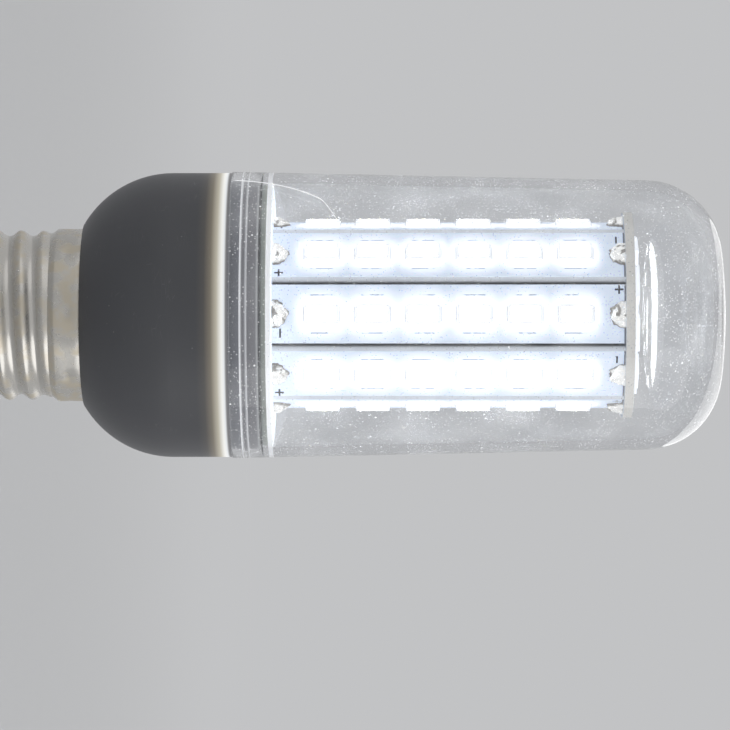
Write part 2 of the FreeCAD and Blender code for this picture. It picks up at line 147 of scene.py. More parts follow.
class Graph:
    """A shader tree that is built by calls."""

    def __init__(self, tree: bpy.types.NodeTree) -> None:
        """Empty a tree for building."""
        self.tree = tree
        tree.nodes.clear()

    def node(self, kind: str, settings: dict[str, Value] | None = None,
             inputs: dict[Value, Value] | None = None, output: Value = 0) -> Field:
        """Add one node.

        Args:
            kind: The node's type.
            settings: The node's own properties, set first; stops are a ramp's places and colours.
            inputs: The values or links of its sockets, by name or number.
            output: The output that is returned, by name or number.

        Returns:
            That output.
        """
        made = self.tree.nodes.new(kind)
        for key, value in (settings or {}).items():
            if key == "stops":
                self._stops(made.color_ramp, value)
            else:
                setattr(made, key, value)
        for key, value in (inputs or {}).items():
            if isinstance(value, Field):
                self.tree.links.new(value.socket, made.inputs[key])
            elif isinstance(value, tuple) and len(value) == 3 and made.inputs[key].type == "RGBA":
                made.inputs[key].default_value = (*value, 1.0)
            else:
                made.inputs[key].default_value = value
        return Field(self, made.outputs[output]) if len(made.outputs) else Field(self, made.inputs[0])

    @staticmethod
    def _stops(ramp: bpy.types.ColorRamp, stops: Stops) -> None:
        """Set the stops of a ramp.

        Args:
            ramp: The ramp.
            stops: Places from 0 to 1 with their colours.
        """
        while len(ramp.elements) < len(stops):
            ramp.elements.new(1.0)
        for element, (place, colour) in zip(ramp.elements, stops):
            element.position = place
            element.color = (*colour, 1.0)

    def place(self) -> Field:
        """Return the Object coordinates."""
        return self.node("ShaderNodeTexCoord", output="Object")

    def axes(self) -> tuple[Field, Field, Field]:
        """Return the x, y and z of the Object coordinates.

        Returns:
            The three coordinates.
        """
        split = self.node("ShaderNodeSeparateXYZ", None, {0: self.place()})
        x, y, z = (Field(self, output) for output in split.socket.node.outputs)
        return x, y, z

    def radius(self) -> Field:
        """Return the distance from the bulb's axis."""
        x, y, _ = self.axes()
        return self.node("ShaderNodeMath", {"operation": "SQRT"}, {0: x * x + y * y})

    def bearing(self) -> Field:
        """Return the angle round the bulb's axis, in radians."""
        x, y, _ = self.axes()
        return self.node("ShaderNodeMath", {"operation": "ARCTAN2"}, {0: y, 1: x})

    def scaled(self, scale: tuple[float, float, float]) -> Field:
        """Return the Object coordinates times a scale on each axis."""
        return self.node("ShaderNodeVectorMath", {"operation": "MULTIPLY"}, {0: self.place(), 1: scale})

    def noise(self, grain: float, detail: float, vector: Field | None = None) -> Field:
        """Return a noise field."""
        inputs = {"Vector": vector or self.place(), "Scale": 1.0 / grain, "Detail": detail}
        return self.node("ShaderNodeTexNoise", None, inputs, "Fac")

    def specks(self, cell: float, size: float, share: float) -> Field:
        """Return small round specks.

        Args:
            cell: The mean distance between places where a speck may be, in metres.
            size: The radius of a speck, as a part of the cell.
            share: The part of the places that have a speck.

        Returns:
            1 on a speck and 0 elsewhere, with a soft edge.
        """
        cells = self.node("ShaderNodeTexVoronoi", None, {"Vector": self.place(), "Scale": 1.0 / cell})
        colour = Field(self, cells.socket.node.outputs["Color"])
        split = self.node("ShaderNodeSeparateColor", None, {0: colour})
        return (1.0 - cells.eased(size * 0.5, size)) * (split < share)

    def scratches(self, grain: float, stretch: float, width: float, cover: float) -> Field:
        """Return fine lines that run mostly round the bulb.

        Args:
            grain: The distance between lines in metres.
            stretch: How much longer than wide their pattern is.
            width: The width of a line, as a part of the grain.
            cover: How much of the surface has lines, from 0 to 1.

        Returns:
            1 on a line and 0 elsewhere.
        """
        settings = {"feature": "DISTANCE_TO_EDGE"}
        inputs = {"Vector": self.scaled((1.0, 1.0, stretch)), "Scale": 1.0 / grain}
        edge = self.node("ShaderNodeTexVoronoi", settings, inputs, "Distance")
        patch = self.noise(grain * 0.8, 2.0)
        return (1.0 - edge.eased(width * 0.4, width)) * patch.eased(1.0 - cover, 1.0 - cover + 0.08)

    def blend(self, factor: Value, first: Value, second: Value) -> Field:
        """Return a mix of two colours.

        Args:
            factor: The share of the second colour.
            first: The first colour.
            second: The second colour.

        Returns:
            The mixed colour.
        """
        settings = {"data_type": "RGBA", "clamp_factor": True}
        first = (*first, 1.0) if isinstance(first, tuple) else first
        second = (*second, 1.0) if isinstance(second, tuple) else second
        return self.node("ShaderNodeMix", settings, {0: factor, 6: first, 7: second}, 2)

    def ramp(self, factor: Value, stops: Stops) -> Field:
        """Return a colour from a ramp."""
        return self.node("ShaderNodeValToRGB", {"stops": stops}, {0: factor})

    def bump(self, height: Field, depth: float, strength: float) -> Field:
        """Return a normal that follows a height field."""
        inputs = {"Height": height, "Distance": depth, "Strength": strength}
        return self.node("ShaderNodeBump", None, inputs)

    def surface(self, **inputs: Value) -> Field:
        """Return a Principled shader."""
        named = {key.replace("_", " "): value for key, value in inputs.items()}
        return self.node("ShaderNodeBsdfPrincipled", None, named)

    def either(self, factor: Value, first: Field, second: Field) -> Field:
        """Return a mix of two shaders."""
        return self.node("ShaderNodeMixShader", None, {0: factor, 1: first, 2: second})

    def ray(self, kind: str) -> Field:
        """Return whether the ray is of a kind."""
        return self.node("ShaderNodeLightPath", output=kind)


def brighter(colour: Colour, factor: float) -> Colour:
    """Return a colour times a factor, held at white."""
    red, green, blue = (min(part * factor, 1.0) for part in colour)
    return red, green, blue


class Finish(ABC):
    """A material that is made once and shared."""

    name: str
    shared: ClassVar[dict[str, bpy.types.Material]] = {}

    def material(self) -> bpy.types.Material:
        """Return the material, made on the first call.

        Returns:
            The material.
        """
        if self.name in self.shared:
            return self.shared[self.name]
        made = bpy.data.materials.new(self.name)
        self.shared[self.name] = made
        made.use_nodes = True
        graph = Graph(made.node_tree)
        sockets = {"Surface": self.shader(graph), **self.inside(graph)}
        graph.node("ShaderNodeOutputMaterial", None, sockets)
        return made

    def inside(self, graph: Graph) -> dict[str, Field]:
        """Return the output's volume socket and what feeds it, nothing for an opaque finish."""
        return {}

    @abstractmethod
    def shader(self, graph: Graph) -> Field:
        """Build the shader.

        Args:
            graph: The empty tree.

        Returns:
            The surface shader.
        """


@dataclass(frozen=True)
class ClearPlastic(Finish):
    """Clear moulded cover with fine dust, a few specks and one long scratch that carry a painted glow,
    and painted glints on its inner edges.
    """

    joint_z: float
    radius: float
    ledge: tuple[float, float]
    groove: tuple[float, float]
    name: str = "cover_plastic"
    ior: float = 1.56
    dust: float = 0.06
    tint: Colour = (0.36, 0.40, 0.44)
    density: float = 70.0
    skin: float = 0.7 * MM
    scratch_start: float = -157.7
    scratch_bend: float = 0.076
    scratch_hook: float = 7.0

    def shader(self, graph: Graph) -> Field:
        """Build the shader.

        Args:
            graph: The empty tree.

        Returns:
            The surface shader.
        """
        haze = graph.noise(9 * MM, 3.0)
        patch = graph.noise(3.2 * MM, 2.0)
        specks = graph.specks(1.5 * MM, 0.13, 0.3)
        grit = graph.specks(0.5 * MM, 0.25, 0.65) * patch.eased(0.34, 0.55)
        wave = graph.noise(14 * MM, 1.0)
        glass = graph.surface(
            Base_Color=graph.blend(haze, (0.98, 0.985, 1.0), WHITE),
            Roughness=0.008 + haze * 0.012,
            IOR=self.ior,
            Transmission_Weight=1.0,
            Normal=graph.bump(wave, 0.05 * MM, 0.2),
        )
        # Painted glow that makes the dust, the scratch and the inner edge glints read as lit.
        lit = graph.surface(
            Base_Color=graph.blend(haze, (0.86, 0.88, 0.91), (0.95, 0.95, 0.96)),
            Roughness=0.7 + haze * 0.2,
            Emission_Color=graph.blend(patch, (0.92, 0.94, 0.97), WHITE),
            Emission_Strength=FAINT,
        )
        dust = haze.eased(0.42, 0.75) * self.dust + specks * 0.85 + grit * 0.6
        # Real dust and the scratch, with painted glints on the inner edges, all drawn in the painted
        # glow.
        marks = dust + self.scratch(graph) + self.edges(graph)
        seen = graph.either(marks, glass, lit)
        return graph.either(graph.ray("Is Shadow Ray"), seen, graph.node("ShaderNodeBsdfTransparent"))

    def scratch(self, graph: Graph) -> Field:
        """Return one long curved scratch that starts at the cover's rim.

        Args:
            graph: The tree.

        Returns:
            1 on the scratch and 0 elsewhere.
        """
        _, _, z = graph.axes()
        rise = (z - self.joint_z) / MM
        bend, hook = math.radians(self.scratch_bend), math.radians(self.scratch_hook)
        path = rise * rise * bend + rise.eased(13.6, 17.0) * hook + math.radians(self.scratch_start)
        off = abs(graph.bearing() - path) * self.radius
        ends = rise.eased(0.2, 1.2) * (1.0 - rise.eased(15.9, 16.4))
        outside = graph.radius() > self.radius - self.skin
        return (1.0 - off.eased(0.1 * MM, 0.19 * MM)) * ends * outside

    def edges(self, graph: Graph) -> Field:
        """Return painted glints on the moulded edges inside the cover.

        Args:
            graph: The tree.

        Returns:
            The strength of the painted glints, 0 away from the groove and the seat of the board.
        """
        _, _, z = graph.axes()
        inner = graph.radius() < self.radius - self.skin
        low, high = self.ledge
        # Painted highlight bands at the board's seat and along both edges of the groove.
        seat = z.eased(low, low + 0.1 * MM) * (1.0 - z.eased(high - 0.1 * MM, high)) * 0.8
        near, far = (1.0 - abs(z - at).eased(0.06 * MM, 0.14 * MM) for at in self.groove)
        return (seat + near * 0.7 + far * 0.4) * inner

    def inside(self, graph: Graph) -> dict[str, Field]:
        """Return the faint tint that darkens the edges of the wall."""
        inputs = {"Color": self.tint, "Density": self.density}
        return {"Volume": graph.node("ShaderNodeVolumeAbsorption", None, inputs)}


@dataclass(frozen=True)
class BasePlastic(Finish):
    """Moulded base in a dark grey that paints the deep shade a pale moulding sits in, with a painted glow
    near its rim and painted glints on its spigot.
    """

    joint_z: float
    name: str = "base_moulding"
    # Dark grey as painted shade: the moulding is pale, but sits in deep shade.
    tone: Colour = (0.068, 0.07, 0.077)
    glow: float = 1.0
    reach: float = 6 * MM
    # Painted glow of LED light bleeding into the plastic under the joint.
    painted_rim_bleed_stops: ClassVar[Stops] = (
        (0.0, (0.1, 0.1, 0.11)),
        (0.05, (0.13, 0.13, 0.13)),
        (0.1, (0.72, 0.74, 0.75)),
        (0.16, (0.8, 0.8, 0.76)),
        (0.28, (0.40, 0.37, 0.29)),
        (0.43, (0.12, 0.10, 0.065)),
        (0.6, (0.02, 0.016, 0.009)),
        (0.8, BLACK),
    )
    # Painted glints on the spigot's bead and board edges, with dark lines of painted shade between them.
    painted_spigot_glint_stops: ClassVar[Stops] = (
        (0.0, (0.30, 0.30, 0.31)),
        (0.05, (0.05, 0.055, 0.065)),
        (0.27, (0.09, 0.095, 0.11)),
        (0.30, (0.62, 0.64, 0.66)),
        (0.335, (0.12, 0.12, 0.13)),
        (0.40, (0.10, 0.10, 0.11)),
        (0.425, (0.34, 0.35, 0.37)),
        (0.46, (0.10, 0.10, 0.11)),
        (0.68, (0.13, 0.13, 0.14)),
        (0.73, (0.34, 0.35, 0.36)),
        (0.765, BLACK),
        (0.80, (0.02, 0.024, 0.022)),
        (0.84, (0.16, 0.18, 0.165)),
        (1.0, (0.22, 0.24, 0.20)),
    )

    def shader(self, graph: Graph) -> Field:
        """Build the shader.

        Args:
            graph: The empty tree.

        Returns:
            The surface shader.
        """
        _, _, z = graph.axes()
        cloud = graph.noise(11 * MM, 4.0)
        grain = graph.noise(0.16 * MM, 2.0)
        dust = graph.specks(1.3 * MM, 0.09, 0.16)
        lines = graph.scratches(5 * MM, 7.0, 0.008, 0.42)
        painted_rim_bleed = graph.ramp((self.joint_z - z) / self.reach, self.painted_rim_bleed_stops)
        painted_spigot_glint = graph.ramp((z - self.joint_z) / self.reach, self.painted_spigot_glint_stops)
        tone = graph.blend(cloud, self.tone, brighter(self.tone, 1.16))
        worn = graph.blend(dust * 0.5 + lines * 0.22, tone, (0.32, 0.32, 0.33))
        return graph.surface(
            Base_Color=worn,
            Roughness=0.36 + cloud * 0.12 + dust * 0.3,
            IOR=1.5,
            # Painted glow under the joint and painted glints on the spigot.
            Emission_Color=graph.blend(z > self.joint_z, painted_rim_bleed, painted_spigot_glint),
            Emission_Strength=self.glow,
            Normal=graph.bump(grain, 0.012 * MM, 0.5),
        )


@dataclass(frozen=True)
class StripMask(Finish):
    """White solder mask of a strip, with a painted glow that is brightest round each LED, and a painted
    line of shade at its top end.
    """

    strip_z: float
    end_z: float
    middle_z: float
    pitch: float
    apothem: float
    count: int
    strips: int
    name: str = "strip_mask"
    dash_side: float = 2.8 * MM
    glow: float = 1.15

    def shader(self, graph: Graph) -> Field:
        """Build the shader.

        Args:
            graph: The empty tree.

        Returns:
            The surface shader.
        """
        _, _, z = graph.axes()
        turn = math.tau / self.strips
        along = z - self.middle_z
        from_led = (along + self.pitch * 0.5).folded(self.pitch)
        from_side = (graph.bearing() + math.pi / 2).folded(turn) * self.apothem
        merged = from_led * 0.7
        spread = (merged * merged + from_side * from_side) ** 0.5
        half, fade = self.pitch * self.count / 2, self.pitch * 0.1
        on_row = 1.0 - abs(along).eased(half - fade, half + fade)
        # Painted bloom of light round each LED.
        bloom = (1.0 - spread.eased(1.6 * MM, 4.7 * MM)) * on_row
        cloud = graph.noise(4 * MM, 4.0)
        weave = graph.noise(0.22 * MM, 2.0)
        low = 1.0 - (z - self.strip_z).eased(1.5 * MM, 5 * MM)
        flux = graph.noise(2.4 * MM, 3.0).eased(0.55, 0.75) * low
        # Short dark dashes beside each LED, at the ends of its leads.
        beside = 1.0 - abs(from_side - self.dash_side).eased(0.05 * MM, 0.11 * MM)
        stroke = beside * (1.0 - from_led.eased(1.6 * MM, 1.9 * MM)) * on_row
        dark_dashes = stroke * graph.noise(0.9 * MM, 3.0).eased(0.34, 0.5)
        tone = graph.blend(cloud, (0.66, 0.71, 0.79), (0.74, 0.78, 0.84))
        # Dark dashes beside the LEDs, and a painted dark line of shade at the strip's top end, where it
        # meets the end board.
        dark = dark_dashes * 0.75 + z.eased(self.end_z - 0.3 * MM, self.end_z - 0.2 * MM) * 0.9
        mask = graph.blend(dark, tone, (0.1, 0.1, 0.11))
        # Painted glow over the whole mask, strongest round the LEDs.
        glow = graph.blend(bloom, (0.30, 0.35, 0.43), (0.86, 0.91, 1.0))
        return graph.surface(
            Base_Color=graph.blend(flux * 0.35, mask, (0.62, 0.55, 0.40)),
            Roughness=0.42 + cloud * 0.15,
            Coat_Weight=0.15 + cloud * 0.1,
            Coat_Roughness=0.25,
            Emission_Color=graph.blend(dark, glow, (0.03, 0.03, 0.035)),
            Emission_Strength=self.glow,
            Normal=graph.bump(weave, 0.01 * MM, 0.4),
        )


@dataclass(frozen=True)
class BareAluminium(Finish):
    """Sawn aluminium edges and backs of the strips, with painted light that grows towards the strip's
    front.
    """

    inner: float
    outer: float
    name: str = "bare_aluminium"

    def shader(self, graph: Graph) -> Field:
        """Build the shader.

        Args:
            graph: The empty tree.

        Returns:
            The surface shader.
        """
        # Painted light: the edges glow more towards the strip's front and stay dark at their back.
        front = graph.radius().eased(self.inner, self.outer)
        saw = graph.noise(0.35 * MM, 3.0, graph.scaled((1.0, 1.0, 0.06)))
        stain = graph.noise(3 * MM, 4.0)
        return graph.surface(
            Base_Color=graph.blend(stain, (0.56, 0.58, 0.61), (0.72, 0.73, 0.75)),
            Metallic=0.45 + stain * 0.2,
            Roughness=0.36 + saw * 0.22,
            Emission_Color=graph.blend(front * (0.6 + saw * 0.4), BLACK, (0.70, 0.74, 0.78)),
            Emission_Strength=FAINT,
            Normal=graph.bump(saw, 0.02 * MM, 0.5),
        )


@dataclass(frozen=True)
class BoardDisc(Finish):
    """White faced board with a bare greenish rim, and painted light on its rim and on the face outside
    the column.
    """

    radius: float
    column: float
    lit_z: float
    name: str
    rim: Colour = (0.66, 0.67, 0.65)
    painted_rim_light: Colour = (0.62, 0.64, 0.66)
    painted_face_light: Colour = (0.46, 0.5, 0.58)
    face: Colour = (0.80, 0.84, 0.89)

    def shader(self, graph: Graph) -> Field:
        """Build the shader.

        Args:
            graph: The empty tree.

        Returns:
            The surface shader.
        """
        cloud = graph.noise(4.5 * MM, 4.0)
        fibre = graph.noise(0.3 * MM, 3.0, graph.scaled((1.0, 1.0, 4.0)))
        rim = graph.radius().eased(self.radius - 0.05 * MM, self.radius - 0.01 * MM)
        edge = graph.blend(fibre, self.rim, brighter(self.rim, 1.3))
        face = graph.blend(cloud, self.face, brighter(self.face, 1.06))
        _, _, z = graph.axes()
        # Painted light on the face outside the column and everywhere over lit_z; the face inside the
        # column gets none.
        painted_lit_side = graph.radius().eased(self.column, self.column + 0.6 * MM) + (z > self.lit_z)
        glow = graph.blend(painted_lit_side, BLACK, self.painted_face_light)
        return graph.surface(
            Base_Color=graph.blend(rim, face, edge),
            Roughness=0.4 + rim * 0.3 + cloud * 0.1,
            Emission_Color=graph.blend(rim, glow, self.painted_rim_light),
            Emission_Strength=1.0,
            Normal=graph.bump(fibre, 0.012 * MM, 0.4),
        )


@dataclass(frozen=True)
class LedBody(Finish):
    """White moulded LED package with a painted glow."""

    name: str = "package_moulding"

    def shader(self, graph: Graph) -> Field:
        """Build the shader.

        Args:
            graph: The empty tree.

        Returns:
            The surface shader.
        """
        cloud = graph.noise(1.6 * MM, 3.0)
        grain = graph.noise(0.08 * MM, 2.0)
        return graph.surface(
            Base_Color=graph.blend(cloud, (0.84, 0.85, 0.86), (0.90, 0.90, 0.90)),
            Roughness=0.45 + cloud * 0.15,
            # Painted glow, as if lit by its own phosphor.
            Emission_Color=graph.blend(cloud, (0.56, 0.59, 0.64), (0.64, 0.66, 0.70)),
            Emission_Strength=1.0,
            Normal=graph.bump(grain, 0.006 * MM, 0.4),
        )


@dataclass(frozen=True)
class Phosphor(Finish):
    """Lit yellow phosphor that shines cool white."""

    name: str = "lit_phosphor"
    power: float = 16.0

    def shader(self, graph: Graph) -> Field:
        """Build the shader.

        Args:
            graph: The empty tree.

        Returns:
            The surface shader.
        """
        cloud = graph.noise(0.9 * MM, 2.0)
        grain = graph.noise(0.07 * MM, 2.0)
        return graph.surface(
            Base_Color=graph.blend(cloud, (0.86, 0.72, 0.24), (0.90, 0.80, 0.36)),
            Roughness=0.35 + grain * 0.2,
            Emission_Color=graph.blend(cloud, (0.90, 0.94, 1.0), (0.96, 0.97, 1.0)),
            Emission_Strength=self.power,
            Normal=graph.bump(grain, 0.005 * MM, 0.4),
        )


@dataclass(frozen=True)
class TinMetal(Finish):
    """Tin, solder or plated metal with stains, and a painted glow where one is set."""

    name: str
    light: Colour = (0.72, 0.72, 0.72)
    dark: Colour = (0.48, 0.48, 0.49)
    stain: Colour = (0.42, 0.33, 0.20)
    stained: float = 0.3
    rough: float = 0.24
    grain: float = 1.2 * MM
    glow: float = 0.0

    def shader(self, graph: Graph) -> Field:
        """Build the shader.

        Args:
            graph: The empty tree.

        Returns:
            The surface shader.
        """
        cloud = graph.noise(self.grain, 4.0)
        fine = graph.noise(self.grain * 0.22, 3.0)
        flux = graph.noise(self.grain * 2.2, 3.0).eased(0.52, 0.7) * self.stained
        return graph.surface(
            Base_Color=graph.blend(flux, graph.blend(cloud, self.dark, self.light), self.stain),
            Metallic=1.0 - flux * 0.8,
            Roughness=self.rough + cloud * 0.18 + flux * 0.25,
            # Painted glow, zero unless set.
            Emission_Color=graph.blend(cloud, (0.8, 0.84, 0.9), WHITE),
            Emission_Strength=self.glow,
            Normal=graph.bump(fine, self.grain * 0.03, 0.4),
        )


@dataclass(frozen=True)
class SoftSolder(Finish):
    """Bright lumpy solder with dark flux in its hollows and round its foot, and a painted glow on the
    clean solder.
    """

    apothem: float
    strips: int
    name: str = "soft_solder"
    light: Colour = (0.95, 0.93, 0.89)
    dark: Colour = (0.62, 0.60, 0.57)
    flux: Colour = (0.16, 0.14, 0.11)

    def shader(self, graph: Graph) -> Field:
        """Build the shader.

        Args:
            graph: The empty tree.

        Returns:
            The surface shader.
        """
        turn = (graph.bearing() + math.pi / 2).folded(math.tau / self.strips)
        rise = graph.radius() * (1.0 - turn * turn * 0.5) - self.apothem
        cloud = graph.noise(0.9 * MM, 4.0)
        fine = graph.noise(0.25 * MM, 3.0)
        ragged = rise + (cloud - 0.5) * (0.9 * MM)
        foot = 1.0 - ragged.eased(0.12 * MM, 0.5 * MM)
        soil = foot * 0.9 + (1.0 - foot) * graph.noise(1.3 * MM, 3.0).eased(0.55, 0.63) * 0.8
        return graph.surface(
            Base_Color=graph.blend(soil, graph.blend(cloud, self.dark, self.light), self.flux),
            Metallic=1.0 - soil * 0.8,
            Roughness=0.16 + cloud * 0.18 + soil * 0.3,
            # Painted glow on the clean solder; the flux barely glows.
            Emission_Color=graph.blend(soil, (1.0, 1.0, 0.98), (0.06, 0.056, 0.048)),
            Emission_Strength=FAINT,
            Normal=graph.bump(fine, 0.03 * MM, 0.4),
        )


@dataclass(frozen=True)
class NickelSheet(Finish):
    """Nickel plated thread with contact wear along its crests."""

    root: float
    crest: float
    name: str = "plated_nickel"

    def shader(self, graph: Graph) -> Field:
        """Build the shader.

        Args:
            graph: The empty tree.

        Returns:
            The surface shader.
        """
        cloud = graph.noise(5 * MM, 4.0)
        drawn = graph.noise(0.5 * MM, 3.0, graph.scaled((1.0, 1.0, 8.0)))
        worn = graph.radius().eased(self.root, self.crest) * graph.noise(2.5 * MM, 3.0).eased(0.4, 0.65)
        tone = graph.blend(cloud, (0.60, 0.58, 0.54), (0.72, 0.70, 0.66))
        return graph.surface(
            Base_Color=graph.blend(worn * 0.5, tone, (0.70, 0.60, 0.42)),
            Metallic=1.0 - cloud * 0.04,
            Roughness=0.2 + cloud * 0.1 + worn * 0.16,
            Normal=graph.bump(drawn, 0.008 * MM, 0.4),
        )


@dataclass(frozen=True)
class Moulded(Finish):
    """Opaque moulded, dipped or lacquered material with a fine grain."""

    name: str
    tone: Colour
    rough: float = 0.4
    grain: float = 0.2 * MM
    depth: float = 0.012 * MM
    spread: float = 1.25

    def shader(self, graph: Graph) -> Field:
        """Build the shader.

        Args:
            graph: The empty tree.

        Returns:
            The surface shader.
        """
        cloud = graph.noise(self.grain * 18, 4.0)
        fine = graph.noise(self.grain, 3.0)
        return graph.surface(
            Base_Color=graph.blend(cloud, self.tone, brighter(self.tone, self.spread)),
            Roughness=self.rough + cloud * 0.15,
            Normal=graph.bump(fine, self.depth, 0.5),
        )


@dataclass(frozen=True)
class StudioFloor(Finish):
    """Pale floor that keeps the shadow and fades into the background."""

    tone: Colour
    paper: Colour = (0.52, 0.525, 0.535)
    near: float = 0.12
    far: float = 1.5
    name: str = "studio_floor"

    def shader(self, graph: Graph) -> Field:
        """Build the shader.

        Args:
            graph: The empty tree.

        Returns:
            The surface shader.
        """
        fibre = graph.noise(0.02, 4.0)
        matt = graph.surface(
            Base_Color=graph.blend(fibre, self.paper, brighter(self.paper, 1.03)),
            Roughness=0.8 + fibre * 0.1,
        )
        plain = graph.node("ShaderNodeEmission", None, {"Color": self.tone, "Strength": 1.0})
        return graph.either(graph.radius().eased(self.near, self.far), matt, plain)


def take(piece: Piece | None) -> None:
    """Select one object alone.

    Args:
        piece: The object, or None to select nothing.
    """
    bpy.ops.object.select_all(action="DESELECT")
    bpy.context.view_layer.objects.active = piece
    if piece is not None:
        piece.select_set(True)


@contextmanager
def editing(piece: Piece) -> Iterator[None]:
    """Keep an object in edit mode.

    Args:
        piece: The object.
    """
    take(piece)
    bpy.ops.object.mode_set(mode="EDIT")
    yield
    bpy.ops.object.mode_set(mode="OBJECT")


def pick(piece: Piece, element: Element, test: Test) -> None:
    """Select elements in edit mode.

    Args:
        piece: The object in edit mode.
        element: The kind of element.
        test: Takes an element's middle and its normal or direction, and says whether to select it.
    """
    bpy.ops.mesh.select_mode(type=element.value)
    bpy.ops.mesh.select_all(action="DESELECT")
    shape = bmesh.from_edit_mesh(piece.data)
    if element is Element.FACE:
        chosen = [face for face in shape.faces if test(face.calc_center_median(), face.normal)]
    elif element is Element.EDGE:
        chosen = []
        for edge in shape.edges:
            first, second = (vert.co for vert in edge.verts)
            if test((first + second) / 2, (second - first).normalized()):
                chosen.append(edge)
    else:
        chosen = [vert for vert in shape.verts if test(vert.co, vert.normal)]
    for item in chosen:
        item.select_set(True)
    shape.select_flush_mode()
    bmesh.update_edit_mesh(piece.data)


def block(name: str, low: Vector, high: Vector) -> Piece:
    """Add a box that is to be shaped further.

    Args:
        name: The object's name.
        low: Its lowest corner.
        high: Its highest corner.

    Returns:
        The object, with its place in its mesh.
    """
    take(None)
    bpy.ops.mesh.primitive_cube_add(size=1.0, location=(low + high) / 2, scale=high - low)
    return settle(name)


def settle(name: str) -> Piece:
    """Move the active object's place into its mesh.

    Args:
        name: The object's name.

    Returns:
        The object.
    """
    piece = bpy.context.object
    piece.name = name
    piece.data.name = name
    bpy.ops.object.transform_apply(location=True, rotation=True, scale=True)
    return piece


def tidy(piece: Piece, angle: float = 32.0) -> Piece:
    """Merge doubles, turn the normals outward and smooth the piece.

    Args:
        piece: The object.
        angle: The angle in degrees over which an edge stays sharp.

    Returns:
        The object.
    """
    with editing(piece):
        bpy.ops.mesh.select_all(action="SELECT")
        bpy.ops.mesh.remove_doubles(threshold=MERGE)
        bpy.ops.mesh.normals_make_consistent(inside=False)
    bpy.ops.object.shade_smooth_by_angle(angle=math.radians(angle))
    return piece


def lathe(name: str, section: Sequence[Point], steps: int) -> Piece:
    """Turn a section round the bulb's axis.

    Args:
        name: The object's name.
        section: Its points, as radius and height.
        steps: The number of steps round the axis.

    Returns:
        The object.
    """
    take(None)
    radius, height = section[0]
    bpy.ops.mesh.primitive_plane_add(size=MM, location=(radius, 0.0, height))
    piece = settle(name)
    with editing(piece):
        bpy.ops.mesh.select_mode(type="VERT")
        bpy.ops.mesh.select_all(action="SELECT")
        bpy.ops.mesh.merge(type="CENTER")
        for (r0, z0), (r1, z1) in zip(section, section[1:]):
            extrude((r1 - r0, 0.0, z1 - z0))
        bpy.ops.mesh.select_all(action="SELECT")
        bpy.ops.mesh.spin(steps=steps, angle=math.tau, center=(0.0, 0.0, 0.0), axis=(0.0, 0.0, 1.0))
    return tidy(piece)


def bevel(piece: Piece, width: float, segments: int, test: Test) -> None:
    """Round chosen edges.

    Args:
        piece: The object.
        width: The width of the rounding.
        segments: Its number of segments.
        test: Takes an edge's middle and direction, and says whether to round it.
    """
    with editing(piece):
        pick(piece, Element.EDGE, test)
        bpy.ops.mesh.bevel(offset=width, segments=segments, affect="EDGES", clamp_overlap=True)


def extrude(move: Sequence[float]) -> None:
    """Extrude what is selected in edit mode."""
    bpy.ops.mesh.extrude_region_move(TRANSFORM_OT_translate={"value": move})


def slice_at(spot: Sequence[float], normal: Sequence[float], trim: bool) -> None:
    """Cut the mesh in edit mode by a plane, and trim and close it there if asked."""
    bpy.ops.mesh.select_all(action="SELECT")
    bpy.ops.mesh.bisect(plane_co=spot, plane_no=normal, use_fill=trim, clear_outer=trim)


def copy(piece: Piece, name: str, move: Matrix) -> Piece:
    """Copy a piece with its own mesh.

    Args:
        piece: The model.
        name: The copy's name.
        move: The move that goes into the copy's mesh.

    Returns:
        The copy.
    """
    made = piece.copy()
    made.data = piece.data.copy()
    made.name = name
    made.data.name = name
    made.data.transform(move)
    bpy.context.scene.collection.objects.link(made)
    return made


def join(name: str, items: Sequence[Piece]) -> Piece:
    """Join objects into one.

    Args:
        name: The joined object's name.
        items: The objects.

    Returns:
        The joined object.
    """
    take(items[0])
    for item in items:
        item.select_set(True)
    bpy.ops.object.join()
    joined = bpy.context.object
    joined.name = name
    joined.data.name = name
    return joined


def drop(piece: Piece) -> None:
    """Remove a model that was only copied."""
    bpy.data.objects.remove(piece)


def paint(piece: Piece, finishes: Sequence[Finish],
          choose: Callable[[bpy.types.MeshPolygon], int] | None = None) -> None:
    """Give a piece its materials.

    Args:
        piece: The object.
        finishes: Its finishes.
        choose: Takes a face and gives the number of its finish.
    """
    piece.data.materials.clear()
    for finish in finishes:
        piece.data.materials.append(finish.material())
    for face in piece.data.polygons:
        face.material_index = choose(face) if choose else 0


def dress(node: str, finish: Finish) -> None:
    """Give a CAD node that keeps its shape a finish."""
    paint(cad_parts[node], [finish])
    LOG.info("dressed %s", node)


def hand_over(piece: Piece, slot: str, *nodes: str) -> None:
    """Let a piece ride on the frame in place of its nodes.

    Args:
        piece: The object.
        slot: A material slot name; not used.
        nodes: The CAD nodes that it stands for.
    """
    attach(piece, BODY)
    if nodes:
        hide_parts(*nodes)
    LOG.info("made %s", piece.name)


